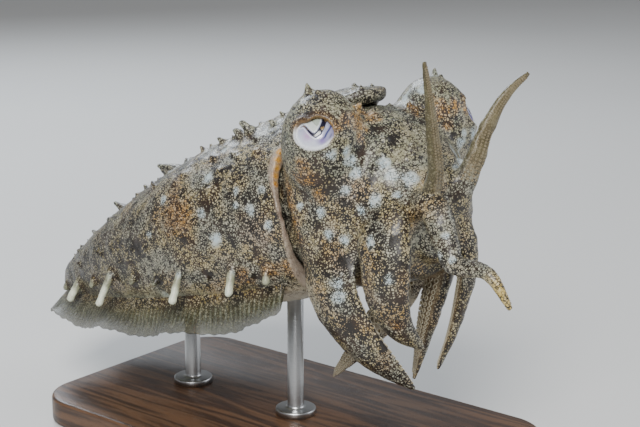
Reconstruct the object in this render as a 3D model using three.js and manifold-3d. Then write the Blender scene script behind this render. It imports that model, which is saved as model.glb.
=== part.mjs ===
// A common cuttlefish, life size, as a still display model on a plain stand.
// Millimetres, +Z up. The animal faces -Y, so its right side is at -X.
// The origin is under the middle of the stand's base.
import * as THREE from "three";
import { mergeVertices } from "three/addons/utils/BufferGeometryUtils.js";
import Module from "manifold-3d";

const wasm = await Module();
wasm.setup();

// Driving sizes. The body is drawn in its own frame, with the middle of the neck at 0,
// +Y towards the tail, and is then tilted and lifted onto the stand.
const TAIL_Y = 94; // tail end behind the neck
const TONGUE = 14; // how far the mantle's upper edge reaches over the neck
const TONGUE_RISE = 3.2; // how much higher the back's middle stands there
const TONGUE_DROOP = 2.6; // how much the tongue's end bends down again
const RIM = 4; // the mantle's front edge at its sides, behind the neck plane
const WALL = 1.9; // thickness of the mantle's front edge
const COLLAR_DEPTH = 13; // end of the groove round the neck
const GAP = 0.3; // space between neighbouring pieces
const CLEAR = 0.36; // growth of a flat-faced cutter that leaves that space
const FINE = 0.03; // surface detail finer than this is left out
const LIFT = 58; // height of the neck's middle over the floor
const SHIFT_Y = -19; // the neck's place over the base
const MANTLE_PITCH = -22; // degrees, tail held low
const HEAD_YAW = -14; // degrees, head turned to its right
const BASE = { length: 104, width: 58, height: 6, corner: 10, bevel: 0.8 };
const ROD = { radius: 1.8, foot: 4.5, footHeight: 1.4 };
const ROD_PLACES = [25, 57]; // along the mantle, behind the neck

// Half-width, height above and depth below the midline, along the mantle from 0 to 1.
const MANTLE_WIDTH = [[0, 20], [0.15, 22], [0.35, 23], [0.6, 19.5], [0.82, 13.5], [0.95, 7.8], [1, 1.2]];
const MANTLE_TOP = [[0, 18], [0.15, 19.5], [0.35, 19.8], [0.6, 15.2], [0.82, 9.6], [0.95, 5], [1, 1]];
const MANTLE_BELLY = [[0, 18], [0.15, 17.5], [0.35, 15.5], [0.6, 12], [0.82, 7], [0.95, 3.2], [1, 0.8]];

// The head along its bent axis, from the neck inside the collar to the front of the arm crown:
// the axis in y and z, half-width, height above and depth below.
const HEAD_AXIS_Y = [[0, 14], [0.35, -1], [0.55, -9], [0.78, -17], [1, -25]];
const HEAD_AXIS_Z = [[0, -6], [0.35, -0.5], [0.55, -1], [0.78, -2], [1, -4]];
const HEAD_WIDTH = [[0, 16], [0.35, 17], [0.55, 17.5], [0.78, 14.5], [0.93, 11], [1, 8]];
const HEAD_TOP = [[0, 14], [0.35, 18.8], [0.55, 20.2], [0.78, 16], [0.93, 11.5], [1, 8]];
const HEAD_CHIN = [[0, 12], [0.35, 15], [0.55, 16], [0.78, 14], [0.93, 10.5], [1, 7.5]];
// The neck's skin in the mantle's frame: from inside the collar forwards, its half-width at
// each share, its ends in y, and its height and depth as shares of the half-width.
const NECK_WIDTH = [[0, 16.5], [0.25, 18], [0.36, 19.3], [0.5, 19.5], [0.72, 18.2], [0.9, 15.5], [1, 11]];
const NECK = { back: 8, front: -11, top: 0.74, chin: 0.66 };
const EYE_BULGE = { x: 14, y: -6.9, z: 13.2, rx: 8.1, ry: 8.6, rz: 11 };
const EYE_RADIUS = 6.6;
const EYE_LOOK = [0.7, -0.64, 0.34]; // the left eye's way of looking
const EYE_DEPTH = 2.2; // from the bulge's middle to the eyeball's middle
const LID = 0.6;
const OPENING = { wide: 3.75, tall: 3.15, aside: 0.4, up: 1.15 }; // seen along the eye's look
const PUPIL = { width: 2.4, stroke: 0.9, rise: 0.3 };

// Along the mantle: the hanging fingers' places, degrees above the fin and lengths, and the row
// along the back with each one's height, radius and lean towards the tail.
const FINGERS = [[0.07, 13, 3.2], [0.16, 19, 6.2], [0.32, 22, 7.2], [0.6, 31, 8], [0.8, 31, 5.6]];
const BACK_ROW = [
  [0.12, 1.4, 1.1, 0.5], [0.19, 3, 1.9, 0.4], [0.27, 1.4, 1, 0.5], [0.33, 1.4, 1, 0.5],
  [0.44, 5, 1.5, 2], [0.55, 1.6, 1.1, 0.5], [0.66, 3.4, 1.5, 0.8], [0.8, 1.6, 1, 0.5],
];

const FIN = { width: 8.5, root: 1.5, edge: 0.7, rays: 16, ripple: 1.3 };
const FUNNEL = { back: [0, 8, -13.2], front: [0, -10, -17.6], wide: 4.6, narrow: 3.1, bore: 1.9 };
const BEAK = { place: [0, -27, -4], length: 5.5, radius: 2.1 };

// Each arm's path in the head's frame: its points, half-width at the root, how full it stays
// towards the tip, thickness as a share of width, the way its back faces, and its keel.
const ARMS = [
  { name: "arm_1_right", wide: 3.3, full: 1, thick: 0.8, back: [-0.4, 0.9, 0.2], keel: 0,
    points: [[-2, -17, -1], [-4.3, -26, 3], [-6.5, -31.5, 10.5],
      [-8.5, -33, 18], [-10, -33.3, 25.5], [-11.5, -33.5, 32.4]] },
  { name: "arm_1_left", wide: 3.3, full: 1, thick: 0.8, back: [0.4, 0.9, 0.2], keel: 0,
    points: [[2, -17, -1], [4.3, -24.5, 3], [7, -27, 10],
      [10.5, -27.3, 17.5], [14.5, -28.3, 23.5], [19, -29.4, 27.2]] },
  { name: "arm_2_right", wide: 3.9, full: 1.3, thick: 0.8, back: [-0.6, 0.1, 0.8], keel: 0,
    points: [[-5, -17, -3], [-6.5, -29.5, 4.5], [-8.3, -36.3, 0],
      [-9.3, -40.5, -4], [-8.8, -48.5, -4], [-8, -53.8, -9.5]] },
  { name: "arm_2_left", wide: 3.7, full: 1.3, thick: 0.8, back: [0.7, -0.7, 0.1], keel: 0,
    points: [[4, -15, -2], [7.5, -23, -4], [7.5, -25.5, -10.5],
      [6.5, -25, -18], [5, -24, -25], [3, -22.5, -32]] },
  { name: "arm_3_right", wide: 6, full: 3, thick: 0.55, back: [-1, -0.3, 0.1], keel: 0,
    points: [[-7, -17, 4], [-12, -23.5, 0], [-13.8, -26, -6.5],
      [-13.4, -26.4, -13.5], [-10.8, -26.8, -19.5], [-6, -28.3, -24.2]] },
  { name: "arm_3_left", wide: 4.6, full: 2.4, thick: 0.6, back: [1, -0.3, 0.1], keel: 0,
    points: [[6, -13, 3], [9, -16.5, -4], [8, -17.5, -12],
      [5.8, -17.2, -20], [3.8, -16.8, -28], [1.5, -17, -35.5]] },
  { name: "arm_4_right", wide: 8, full: 3, thick: 0.46, back: [-1, -0.1, -0.25], keel: -0.5,
    points: [[-6, -8, 3], [-12.5, -9.5, -5], [-15.3, -11.5, -12.5],
      [-14.7, -15, -19.5], [-11.2, -20, -26.8], [-5, -25, -33.8]] },
  { name: "arm_4_left", wide: 6.2, full: 2.4, thick: 0.52, back: [1, -0.1, -0.25], keel: 0.5,
    points: [[8, -8, 3], [12, -7, -5], [12.8, -4.5, -13.5],
      [11.5, -0.5, -22.5], [9, 5.5, -32.5], [5, 14.5, -45]] },
];
const ARM_SIDES = 8;
const ARM_STEPS = 4; // along each length
const ARM_CUTS = [0.38, 0.6, 0.81]; // shares of each path where the head ends and the lengths meet
const LENGTH_NAMES = ["root", "middle", "tip"];
const TIP = 0.5; // half-width at an arm's tip
const SUCKERS = { count: 14, sides: 5, rows: 0.42, share: 0.34, least: 0.42, most: 1.1 };

// Smooth value at share u through [share, value] pairs.
function along(table, u) {
  let i = 0;
  while (i < table.length - 2 && u > table[i + 1][0]) i++;
  const slope = (k) => {
    const a = table[Math.max(k - 1, 0)];
    const b = table[Math.min(k + 1, table.length - 1)];
    return (b[1] - a[1]) / (b[0] - a[0]);
  };
  const [u0, v0] = table[i];
  const [u1, v1] = table[i + 1];
  const span = u1 - u0;
  const t = THREE.MathUtils.clamp((u - u0) / span, 0, 1);
  const h = t * t * (3 - 2 * t);
  const bend = (t ** 3 - 2 * t * t + t) * span * slope(i) + (t ** 3 - t * t) * span * slope(i + 1);
  return v0 + (v1 - v0) * h + bend;
}

// A closed geometry as a solid whose faces point out.
function solidOf(geometry) {
  const bare = new THREE.BufferGeometry().setAttribute("position", geometry.getAttribute("position"));
  bare.setIndex(geometry.index);
  const merged = mergeVertices(bare, 1e-4);
  const corners = merged.index.array;
  const triVerts = [];
  for (let i = 0; i < corners.length; i += 3) {
    const [a, b, c] = corners.subarray(i, i + 3);
    if (a !== b && b !== c && a !== c) triVerts.push(a, b, c);
  }
  const build = (tris) => new wasm.Manifold(new wasm.Mesh({
    numProp: 3,
    vertProperties: merged.attributes.position.array,
    triVerts: new Uint32Array(tris),
  }));
  const made = build(triVerts);
  return made.volume() < 0 ? build(triVerts.reverse()) : made;
}

// The largest closed body of a solid, as a geometry.
function geometryOf(solid) {
  const largest = solid.decompose().sort((a, b) => b.volume() - a.volume())[0];
  const mesh = largest.getMesh();
  const geometry = new THREE.BufferGeometry();
  geometry.setAttribute("position", new THREE.BufferAttribute(mesh.vertProperties, 3));
  geometry.setIndex(new THREE.BufferAttribute(mesh.triVerts, 1));
  geometry.computeVertexNormals();
  return geometry;
}

// A closed body drawn over a cylinder's grid: place gives the point at share u along it,
// at an angle round it and at a reach of 0 on its axis to 1 on its skin.
function swept(steps, sides, place) {
  const grid = new THREE.CylinderGeometry(1, 1, 1, sides, steps);
  const spots = grid.getAttribute("position");
  for (let i = 0; i < spots.count; i++) {
    const reach = Math.min(1, Math.hypot(spots.getX(i), spots.getZ(i)));
    const angle = Math.atan2(spots.getZ(i), spots.getX(i));
    const p = place(spots.getY(i) + 0.5, angle, reach);
    spots.setXYZ(i, p.x, p.y, p.z);
  }
  return solidOf(grid);
}

function join(first, others) {
  return others.reduce((whole, piece) => whole.add(piece), first);
}

const at = (x, y, z) => new THREE.Vector3(x, y, z);

const tilted = (solid) => solid.rotate([MANTLE_PITCH, 0, 0]);
const yawed = (solid) => solid.rotate([0, 0, HEAD_YAW]);

// Mantle

// How far the front edge stands behind the neck plane at an angle round the body:
// a tongue over the neck, and further back under it.
function rimY(angle) {
  const up = Math.sin(angle);
  return up > 0 ? RIM - (TONGUE + RIM) * up ** 7 : RIM + 7 * (-up) ** 1.5;
}

// How much higher the back's middle stands at y, near 1 at the front edge and 0 further back.
function tongueLift(angle, y, near) {
  const bent = THREE.MathUtils.clamp((-2 - y) / 12, 0, 1.3) ** 2;
  return Math.max(0, Math.sin(angle)) ** 8 * (TONGUE_RISE * near - TONGUE_DROOP * bent);
}

function mantlePoint(u, angle, reach, grow) {
  const side = along(MANTLE_WIDTH, u) + grow;
  const tall = Math.sin(angle) > 0 ? along(MANTLE_TOP, u) + grow : along(MANTLE_BELLY, u) + grow;
  const front = (rimY(angle) - 3 * grow) * reach;
  const y = front + (TAIL_Y + grow - front) * u;
  const flat = 1 + 0.06 * Math.sin(2 * angle) ** 2; // slightly squared section
  const near = THREE.MathUtils.smoothstep(0.35 - u, 0, 0.35);
  const rise = tongueLift(angle, y, near);
  return at(side * flat * Math.cos(angle) * reach, y, (tall * flat + rise) * Math.sin(angle) * reach);
}

const MANTLE_STEPS = 15;
const MANTLE_SIDES = 26;

function mantleBody(grow) {
  return swept(MANTLE_STEPS, MANTLE_SIDES, (u, angle, reach) => mantlePoint(u, angle, reach, grow));
}

// The hollow behind the mantle's front edge, where the neck goes in.
function collarGroove(grow) {
  return swept(8, MANTLE_SIDES, (u, angle, reach) => {
    const y = THREE.MathUtils.lerp(-TONGUE - 6, COLLAR_DEPTH + grow, u);
    const side = along(MANTLE_WIDTH, 0.04) - WALL + grow;
    const tall = (Math.sin(angle) > 0 ? along(MANTLE_TOP, 0.04) : along(MANTLE_BELLY, 0.04)) - WALL + grow;
    const rise = tongueLift(angle, y, 1);
    return at(side * Math.cos(angle) * reach, y, (tall + rise) * Math.sin(angle) * reach);
  });
}

// A blunt pointed skin flap whose root is sunk in what it grows from.
function papilla(root, direction, height, radius, sides = 5) {
  const sunk = Math.min(1.6, radius);
  const profile = [
    new THREE.Vector2(0, -sunk),
    new THREE.Vector2(radius * 1.05, -sunk),
    new THREE.Vector2(radius * 0.75, height * 0.3),
    new THREE.Vector2(radius * 0.42, height * 0.85),
    new THREE.Vector2(0, height),
  ];
  const cone = new THREE.LatheGeometry(profile, sides);
  const turn = new THREE.Quaternion().setFromUnitVectors(at(0, 1, 0), direction.clone().normalize());
  cone.applyQuaternion(turn);
  cone.translate(root.x, root.y, root.z);
  return solidOf(cone);
}

function mantleNormal(u, angle) {
  const step = 0.01;
  const here = mantlePoint(u, angle, 1, 0);
  const back = mantlePoint(u + step, angle, 1, 0).sub(here);
  const round = mantlePoint(u, angle + step, 1, 0).sub(here);
  const out = back.cross(round).normalize();
  return out.dot(at(here.x, 0, here.z)) < 0 ? out.negate() : out;
}

function mantlePapilla(u, degrees, height, radius, lean, hang = 0) {
  const angle = THREE.MathUtils.degToRad(degrees);
  const root = mantlePoint(u, angle, 1, 0);
  const direction = mantleNormal(u, angle).add(at(0, lean, -hang));
  return papilla(root, direction, height, radius);
}

// The way from the back's middle line down to the fin, in degrees round the body, at share u.
function finDegrees(u) {
  return THREE.MathUtils.lerp(-44, -26, u);
}

// The same spot on both sides: hanging fingers above each fin, a row along each side of the
// back with a few tall ones, and low ones on the flanks.
function mantlePapillae() {
  const made = [];
  const pair = (u, degrees, ...shape) => {
    made.push(mantlePapilla(u, degrees, ...shape));
    made.push(mantlePapilla(u, 180 - degrees, ...shape));
  };
  for (const [u, above, length] of FINGERS) pair(u, finDegrees(u) + above, length, 1.1, 0.3, 1.3);
  for (const [u, height, radius, lean] of BACK_ROW) pair(u, 64, height, radius, lean);
  for (let i = 0; i < 4; i++) pair(0.13 + 0.125 * i, 20, 1.7, 1, 0.3);
  return made;
}

// The mantle's wall, thicker all round by grow.
function mantleShell(grow) {
  return mantleBody(grow).subtract(collarGroove(-grow));
}

function mantle() {
  return join(mantleShell(0), mantlePapillae()).simplify(FINE);
}

// Fins

// A rippled membrane along one side of the mantle, hanging a little, with its rays raised
// in both faces.
function fin(sign) {
  const steps = FIN.rays * 2;
  const grid = new THREE.BoxGeometry(1, 1, 1, steps, 2, 1);
  const spots = grid.getAttribute("position");
  for (let i = 0; i < spots.count; i++) {
    const s = spots.getX(i) + 0.5;
    const w = spots.getY(i) + 0.5;
    const u = THREE.MathUtils.lerp(0.035, 0.985, s);
    const angle = THREE.MathUtils.degToRad(sign > 0 ? finDegrees(u) : 180 - finDegrees(u));
    const out = at(sign * (0.4 + 0.5 * s), 0.45 * s * s, 0.4 * s - 0.9).normalize();
    const across = at(-sign * out.z, 0, Math.abs(out.x)).normalize();
    const wide = FIN.width * (0.75 + 0.25 * Math.sin(Math.PI * Math.min(s * 2.2, 0.5)));
    const wave = FIN.ripple * w * w * Math.sin(s * Math.PI * 7 + 0.8);
    const ray = Math.round(s * steps) % 2 === 0 ? 0.16 * Math.sin(Math.PI * Math.min(1, w * 1.1)) : 0;
    const half = THREE.MathUtils.lerp(FIN.root, FIN.edge, w) / 2 + ray;
    const p = mantlePoint(u, angle, 1, -0.6)
      .addScaledVector(out, (wide * (1 - 0.3 * s ** 4) + 0.6) * w)
      .addScaledVector(across, wave + Math.sign(spots.getZ(i)) * half);
    spots.setXYZ(i, p.x, p.y, p.z);
  }
  return solidOf(grid).subtract(mantleBody(GAP));
}

// Head

function headPoint(u, angle, reach) {
  const step = u > 0.99 ? -0.01 : 0.01;
  const y = along(HEAD_AXIS_Y, u);
  const z = along(HEAD_AXIS_Z, u);
  const rise = (along(HEAD_AXIS_Z, u + step) - z) / (along(HEAD_AXIS_Y, u + step) - y);
  const above = at(0, -rise, 1).normalize();
  const tall = Math.sin(angle) > 0 ? along(HEAD_TOP, u) : along(HEAD_CHIN, u);
  const flat = 1 + 0.05 * Math.sin(2 * angle) ** 2;
  return at(along(HEAD_WIDTH, u) * flat * Math.cos(angle) * reach, y, z)
    .addScaledVector(above, tall * flat * Math.sin(angle) * reach);
}

function headBody() {
  return swept(12, 26, headPoint);
}

// The neck's skin, drawn in the mantle's frame and given in the head's.
function neck() {
  const skin = swept(8, 22, (u, angle, reach) => {
    const side = along(NECK_WIDTH, u);
    const tall = side * (Math.sin(angle) > 0 ? NECK.top : NECK.chin);
    const full = reach * (1 + 0.1 * Math.sin(2 * angle) ** 2);
    const y = THREE.MathUtils.lerp(NECK.back, NECK.front, u);
    return at(side * full * Math.cos(angle), y, tall * full * Math.sin(angle));
  });
  return tilted(skin).rotate([0, 0, -HEAD_YAW]);
}

function eyeBulge(sign) {
  const ball = new THREE.SphereGeometry(1, 20, 14);
  ball.scale(EYE_BULGE.rx, EYE_BULGE.ry, EYE_BULGE.rz);
  ball.translate(sign * EYE_BULGE.x, EYE_BULGE.y, EYE_BULGE.z);
  return solidOf(ball);
}

const eyeLook = (sign) => at(sign * EYE_LOOK[0], EYE_LOOK[1], EYE_LOOK[2]).normalize();
const eyeCentre = (sign) => at(sign * EYE_BULGE.x, EYE_BULGE.y, EYE_BULGE.z)
  .addScaledVector(eyeLook(sign), EYE_DEPTH);

// The eyeball, and the band of its wavy pupil raised on it.
function eyeball(sign, grow) {
  const ball = new THREE.SphereGeometry(EYE_RADIUS + grow, 16, 12);
  const c = eyeCentre(sign);
  ball.translate(c.x, c.y, c.z);
  return solidOf(ball);
}

// Turns a shape drawn facing +Z, with +Y up, to face along the eye's way of looking.
function facing(sign) {
  return new THREE.Matrix4().lookAt(eyeLook(sign), at(0, 0, 0), at(0, 0, 1)).setPosition(eyeCentre(sign));
}

function pupil(sign) {
  const band = new THREE.BoxGeometry(1, 1, 1, 12, 1, 1);
  const spots = band.getAttribute("position");
  for (let i = 0; i < spots.count; i++) {
    const s = spots.getX(i) * 2;
    const x = PUPIL.width * s + sign * 0.7;
    const y = 0.8 + 1.2 * s * s - 0.8 * Math.cos(s * Math.PI * 2) + spots.getY(i) * PUPIL.stroke;
    const reach = EYE_RADIUS + (spots.getZ(i) > 0 ? PUPIL.rise : -0.7);
    const p = at(x, y, Math.sqrt(EYE_RADIUS ** 2 - x * x - y * y)).setLength(reach);
    spots.setXYZ(i, p.x, p.y, p.z);
  }
  band.applyMatrix4(facing(sign));
  return solidOf(band);
}

// The lids: a thicker skin over the eyeball, and the opening between them.
function lids(sign) {
  const ball = new THREE.SphereGeometry(EYE_RADIUS + GAP + LID, 18, 12);
  const c = eyeCentre(sign);
  ball.translate(c.x, c.y, c.z);
  return solidOf(ball);
}

function opening(sign) {
  const hole = new THREE.CylinderGeometry(1, 1, 8, 20);
  hole.rotateX(Math.PI / 2);
  hole.scale(OPENING.wide, OPENING.tall, 1);
  hole.translate(sign * OPENING.aside, OPENING.up, 6);
  hole.applyMatrix4(facing(sign));
  return solidOf(hole);
}

// Arms

function armPath(arm) {
  return new THREE.CatmullRomCurve3(arm.points.map((p) => at(...p)), false, "catmullrom", 0.5);
}

// The arm's middle, its sideways way, the way its back faces and its half-width at share t.
function armFrame(arm, path, t) {
  const middle = path.getPointAt(t);
  const ahead = path.getTangentAt(t);
  const back = at(...arm.back).normalize();
  back.addScaledVector(ahead, -back.dot(ahead)).normalize();
  const side = ahead.clone().cross(back).normalize();
  const root = Math.min(1, 0.6 + 1.4 * t); // slimmer inside the head
  const half = TIP + (arm.wide * root - TIP) * (1 - t ** arm.full) ** 0.9;
  return { middle, back, side, half };
}

// Thickness on the back or the sucker side, as a share of the half-width; a keeled arm
// thins towards its keel.
function armThickness(arm, angle) {
  const keel = Math.max(0, Math.sign(arm.keel) * Math.cos(angle)) * Math.abs(arm.keel);
  return arm.thick * (Math.sin(angle) > 0 ? 1 : 0.7) * (1 - keel);
}

function armLength(arm, from, to, grow) {
  const path = armPath(arm);
  return swept(ARM_STEPS, ARM_SIDES, (u, angle, reach) => {
    const { middle, back, side, half } = armFrame(arm, path, THREE.MathUtils.lerp(from, to, u));
    const thick = half * armThickness(arm, angle) + grow;
    return middle
      .addScaledVector(side, (half + grow) * Math.cos(angle) * reach)
      .addScaledVector(back, thick * Math.sin(angle) * reach);
  });
}

function sucker(root, out, radius, grow) {
  const r = radius + grow;
  const rise = 0.55 * radius;
  const profile = [
    new THREE.Vector2(0, -0.5),
    new THREE.Vector2(0.7 * r, -0.5),
    new THREE.Vector2(r, rise + grow),
    new THREE.Vector2(0.6 * r, 1.6 * rise + grow),
    new THREE.Vector2(0, 0.8 * rise + grow),
  ];
  const cup = new THREE.LatheGeometry(profile, SUCKERS.sides);
  cup.applyQuaternion(new THREE.Quaternion().setFromUnitVectors(at(0, 1, 0), out));
  cup.translate(root.x, root.y, root.z);
  return solidOf(cup);
}

// Two staggered rows of suckers between two shares of an arm.
function suckers(arm, from, to, grow) {
  const path = armPath(arm);
  const made = [];
  for (let i = 0; i < SUCKERS.count; i++) {
    const t = 0.4 + 0.57 * (i / (SUCKERS.count - 1)) ** 0.95;
    const { middle, back, side, half } = armFrame(arm, path, t);
    const radius = THREE.MathUtils.clamp(half * SUCKERS.share, SUCKERS.least, SUCKERS.most);
    const margin = (radius + GAP) / path.getLength();
    if (t < from + margin || t > to - margin) continue;
    const row = i % 2 ? SUCKERS.rows : -SUCKERS.rows;
    const angle = -Math.acos(row);
    const deep = half * armThickness(arm, angle) * Math.sin(-angle);
    const root = middle.addScaledVector(side, row * half).addScaledVector(back, 0.15 - deep);
    made.push(sucker(root, back.clone().negate(), radius, grow));
  }
  return made;
}

// Funnel and beak

// A tapering tube under the neck, open in front.
function funnel(grow, bored) {
  const back = at(...FUNNEL.back);
  const front = at(...FUNNEL.front);
  const tube = swept(5, 16, (share, angle, reach) => {
    const u = share + (share - 0.5) * grow * 0.12;
    const radius = THREE.MathUtils.lerp(FUNNEL.wide, FUNNEL.narrow, u) + grow;
    const bend = at(0, 0, 1.5 * Math.sin(Math.PI * u));
    return back.clone().lerp(front, u).add(bend)
      .add(at(radius * 1.15 * Math.cos(angle) * reach, 0, radius * Math.sin(angle) * reach));
  });
  if (!bored) return tube;
  const bore = swept(1, 16, (u, angle, reach) => back.clone().lerp(front, 0.72 + 0.4 * u)
    .add(at(FUNNEL.bore * 1.15 * Math.cos(angle) * reach, 0, FUNNEL.bore * Math.sin(angle) * reach)));
  return tube.subtract(bore);
}

// The beak: a blunt hook in the middle of the arm crown.
function beak(grow) {
  const [x, y, z] = BEAK.place;
  return swept(5, 12, (u, angle, reach) => {
    const radius = BEAK.radius * (1 - 0.75 * u * u) + grow;
    return at(
      x + radius * Math.cos(angle) * reach,
      y + 3 - (BEAK.length + 2 * grow) * u + grow,
      z + radius * Math.sin(angle) * reach - 1.2 * u * u,
    );
  });
}

// The round muscle that the beak stands in.
function mouthMass() {
  const ball = new THREE.SphereGeometry(1, 16, 12);
  ball.scale(5, 4.5, 5);
  const [x, y, z] = BEAK.place;
  ball.translate(x, y + 3, z);
  return solidOf(ball);
}

function headPapillae(sign) {
  return [
    papilla(at(sign * 16, -5.4, 23.3), at(sign * 0.15, 0.25, 1), 2.2, 1.5),
    papilla(at(sign * 9.5, -12, 19.4), at(sign * 0.1, -0.6, 1), 2, 1.2),
  ];
}

function head() {
  const both = (make) => [-1, 1].flatMap(make);
  const stubs = ARMS.map((arm) => armLength(arm, 0, ARM_CUTS[0], 0));
  const flesh = join(headBody(), [neck(), mouthMass(), ...stubs, ...both(eyeBulge), ...both(lids)]);
  const cutters = [
    ...both((sign) => eyeball(sign, GAP)),
    ...both(opening),
    ...ARMS.map((arm) => armLength(arm, ARM_CUTS[0], ARM_CUTS[1], CLEAR)),
    ...ARMS.flatMap((arm) => suckers(arm, ARM_CUTS[0], ARM_CUTS[1], CLEAR)),
    beak(CLEAR),
  ];
  const shaped = cutters.reduce((whole, cutter) => whole.subtract(cutter), flesh);
  return yawed(join(shaped, both(headPapillae)))
    .subtract(funnel(CLEAR, false))
    .subtract(tilted(join(mantleShell(CLEAR), mantlePapillae())))
    .simplify(FINE);
}

// Stand

function standBase() {
  const w = BASE.width / 2 - BASE.bevel;
  const l = BASE.length / 2 - BASE.bevel;
  const c = BASE.corner;
  const outline = new THREE.Shape();
  outline.moveTo(-w + c, -l);
  outline.absarc(w - c, -l + c, c, -Math.PI / 2, 0);
  outline.absarc(w - c, l - c, c, 0, Math.PI / 2);
  outline.absarc(-w + c, l - c, c, Math.PI / 2, Math.PI);
  outline.absarc(-w + c, -l + c, c, Math.PI, Math.PI * 1.5);
  const plate = new THREE.ExtrudeGeometry(outline, {
    depth: BASE.height - 2 * BASE.bevel,
    bevelThickness: BASE.bevel,
    bevelSize: BASE.bevel,
    bevelSegments: 1,
    curveSegments: 4,
  });
  plate.translate(0, 0, BASE.bevel);
  return solidOf(plate);
}

// A rod with a round foot, from the base up to the belly at a place along the mantle.
function standRod(place) {
  const spot = at(0, place, -along(MANTLE_BELLY, (place - 9) / (TAIL_Y - 9)));
  spot.applyAxisAngle(at(1, 0, 0), THREE.MathUtils.degToRad(MANTLE_PITCH));
  const top = spot.z + LIFT + 3;
  const profile = [
    new THREE.Vector2(0, BASE.height + GAP),
    new THREE.Vector2(ROD.foot, BASE.height + GAP),
    new THREE.Vector2(ROD.foot, BASE.height + ROD.footHeight),
    new THREE.Vector2(ROD.radius, BASE.height + ROD.footHeight),
    new THREE.Vector2(ROD.radius, top),
    new THREE.Vector2(0, top),
  ];
  const rod = new THREE.LatheGeometry(profile, 16);
  rod.rotateX(Math.PI / 2);
  rod.translate(0, spot.y + SHIFT_Y, 0);
  return solidOf(rod).subtract(tilted(mantleBody(GAP)).translate([0, SHIFT_Y, LIFT]));
}

function material(color, roughness, metalness = 0) {
  return new THREE.MeshStandardMaterial({ color, roughness, metalness });
}

const SKIN = material(0x7d7159, 0.55);
const MANTLE_SKIN = material(0x82765c, 0.55);
const ARM_SKIN = material(0x6f6647, 0.5);
const FIN_SKIN = material(0x9a927c, 0.4);
const EYE = material(0xb9bdd6, 0.15);
const FUNNEL_SKIN = material(0xb9ad97, 0.45);
const HORN = material(0x2a1d16, 0.35);
const WOOD = material(0x4a3323, 0.5);
const STEEL = material(0xb8bcc0, 0.3, 1);

const model = new THREE.Group();
const body = new THREE.Group();
body.position.set(0, SHIFT_Y, LIFT);
model.add(body);

function node(parent, name, solid, finish) {
  const mesh = new THREE.Mesh(geometryOf(solid), finish);
  mesh.name = name;
  parent.add(mesh);
}

node(body, "mantle", tilted(mantle()), MANTLE_SKIN);
node(body, "fin_right", tilted(fin(-1)), FIN_SKIN);
node(body, "fin_left", tilted(fin(1)), FIN_SKIN);
node(body, "head", head(), SKIN);
node(body, "eye_right", yawed(eyeball(-1, 0).add(pupil(-1))), EYE);
node(body, "eye_left", yawed(eyeball(1, 0).add(pupil(1))), EYE);
node(body, "funnel", funnel(0, true).subtract(tilted(mantleShell(GAP))), FUNNEL_SKIN);
node(body, "beak", yawed(beak(0)), HORN);
for (const arm of ARMS)
  LENGTH_NAMES.forEach((length, i) => {
    const from = ARM_CUTS[i] + (GAP + 0.03) / armPath(arm).getLength();
    const to = i + 1 < ARM_CUTS.length ? ARM_CUTS[i + 1] : 1;
    const flesh = join(armLength(arm, from, to, 0), suckers(arm, from, to, 0));
    node(body, arm.name + "_" + length, yawed(flesh), ARM_SKIN);
  });
node(model, "stand_base", standBase(), WOOD);
node(model, "stand_rod_front", standRod(ROD_PLACES[0]), STEEL);
node(model, "stand_rod_back", standRod(ROD_PLACES[1]), STEEL);

export default model;
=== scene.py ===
import math

import bpy
import numpy as np
import openvdb as vdb
from mathutils import Matrix, Vector, noise
from mathutils.bvhtree import BVHTree


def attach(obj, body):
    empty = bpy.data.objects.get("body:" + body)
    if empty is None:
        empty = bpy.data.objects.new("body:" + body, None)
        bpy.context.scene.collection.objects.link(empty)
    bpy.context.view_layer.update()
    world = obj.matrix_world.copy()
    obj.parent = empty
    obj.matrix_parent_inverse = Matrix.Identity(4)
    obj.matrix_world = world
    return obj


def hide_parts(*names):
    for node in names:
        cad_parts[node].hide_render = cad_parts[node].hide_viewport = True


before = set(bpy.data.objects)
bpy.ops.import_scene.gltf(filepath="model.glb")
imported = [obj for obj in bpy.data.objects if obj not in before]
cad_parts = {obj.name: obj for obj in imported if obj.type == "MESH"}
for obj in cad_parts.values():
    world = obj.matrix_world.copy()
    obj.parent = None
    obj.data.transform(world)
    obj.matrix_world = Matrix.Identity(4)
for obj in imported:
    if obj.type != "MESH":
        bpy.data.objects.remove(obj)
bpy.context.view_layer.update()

# Named sizes, in millimetres. The forms and places are those of the part's solids; the fins'
# edge and rays and the suckers are finer here.
TAIL_Y = 94
TONGUE = 14
TONGUE_RISE = 3.2
TONGUE_DROOP = 2.6
RIM = 4
WALL = 1.9
COLLAR_DEPTH = 13
LIFT = 58
SHIFT_Y = -19
MANTLE_PITCH = -22
HEAD_YAW = -14
BASE = {"length": 104, "width": 58, "height": 6, "corner": 10, "bevel": 0.8}
ROD = {"radius": 1.8, "foot": 4.5, "foot_height": 1.4, "edge": 0.4, "fillet": 0.7, "bevel": 0.3}
ROD_PLACES = [25, 57]

# Half-width, height above and depth below the midline, along the mantle from 0 to 1.
MANTLE_WIDTH = [[0, 20], [0.15, 22], [0.35, 23], [0.6, 19.5], [0.82, 13.5], [0.95, 7.8], [1, 1.2]]
MANTLE_TOP = [[0, 18], [0.15, 19.5], [0.35, 19.8], [0.6, 15.2], [0.82, 9.6], [0.95, 5], [1, 1]]
MANTLE_BELLY = [[0, 18], [0.15, 17.5], [0.35, 15.5], [0.6, 12], [0.82, 7], [0.95, 3.2], [1, 0.8]]

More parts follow.
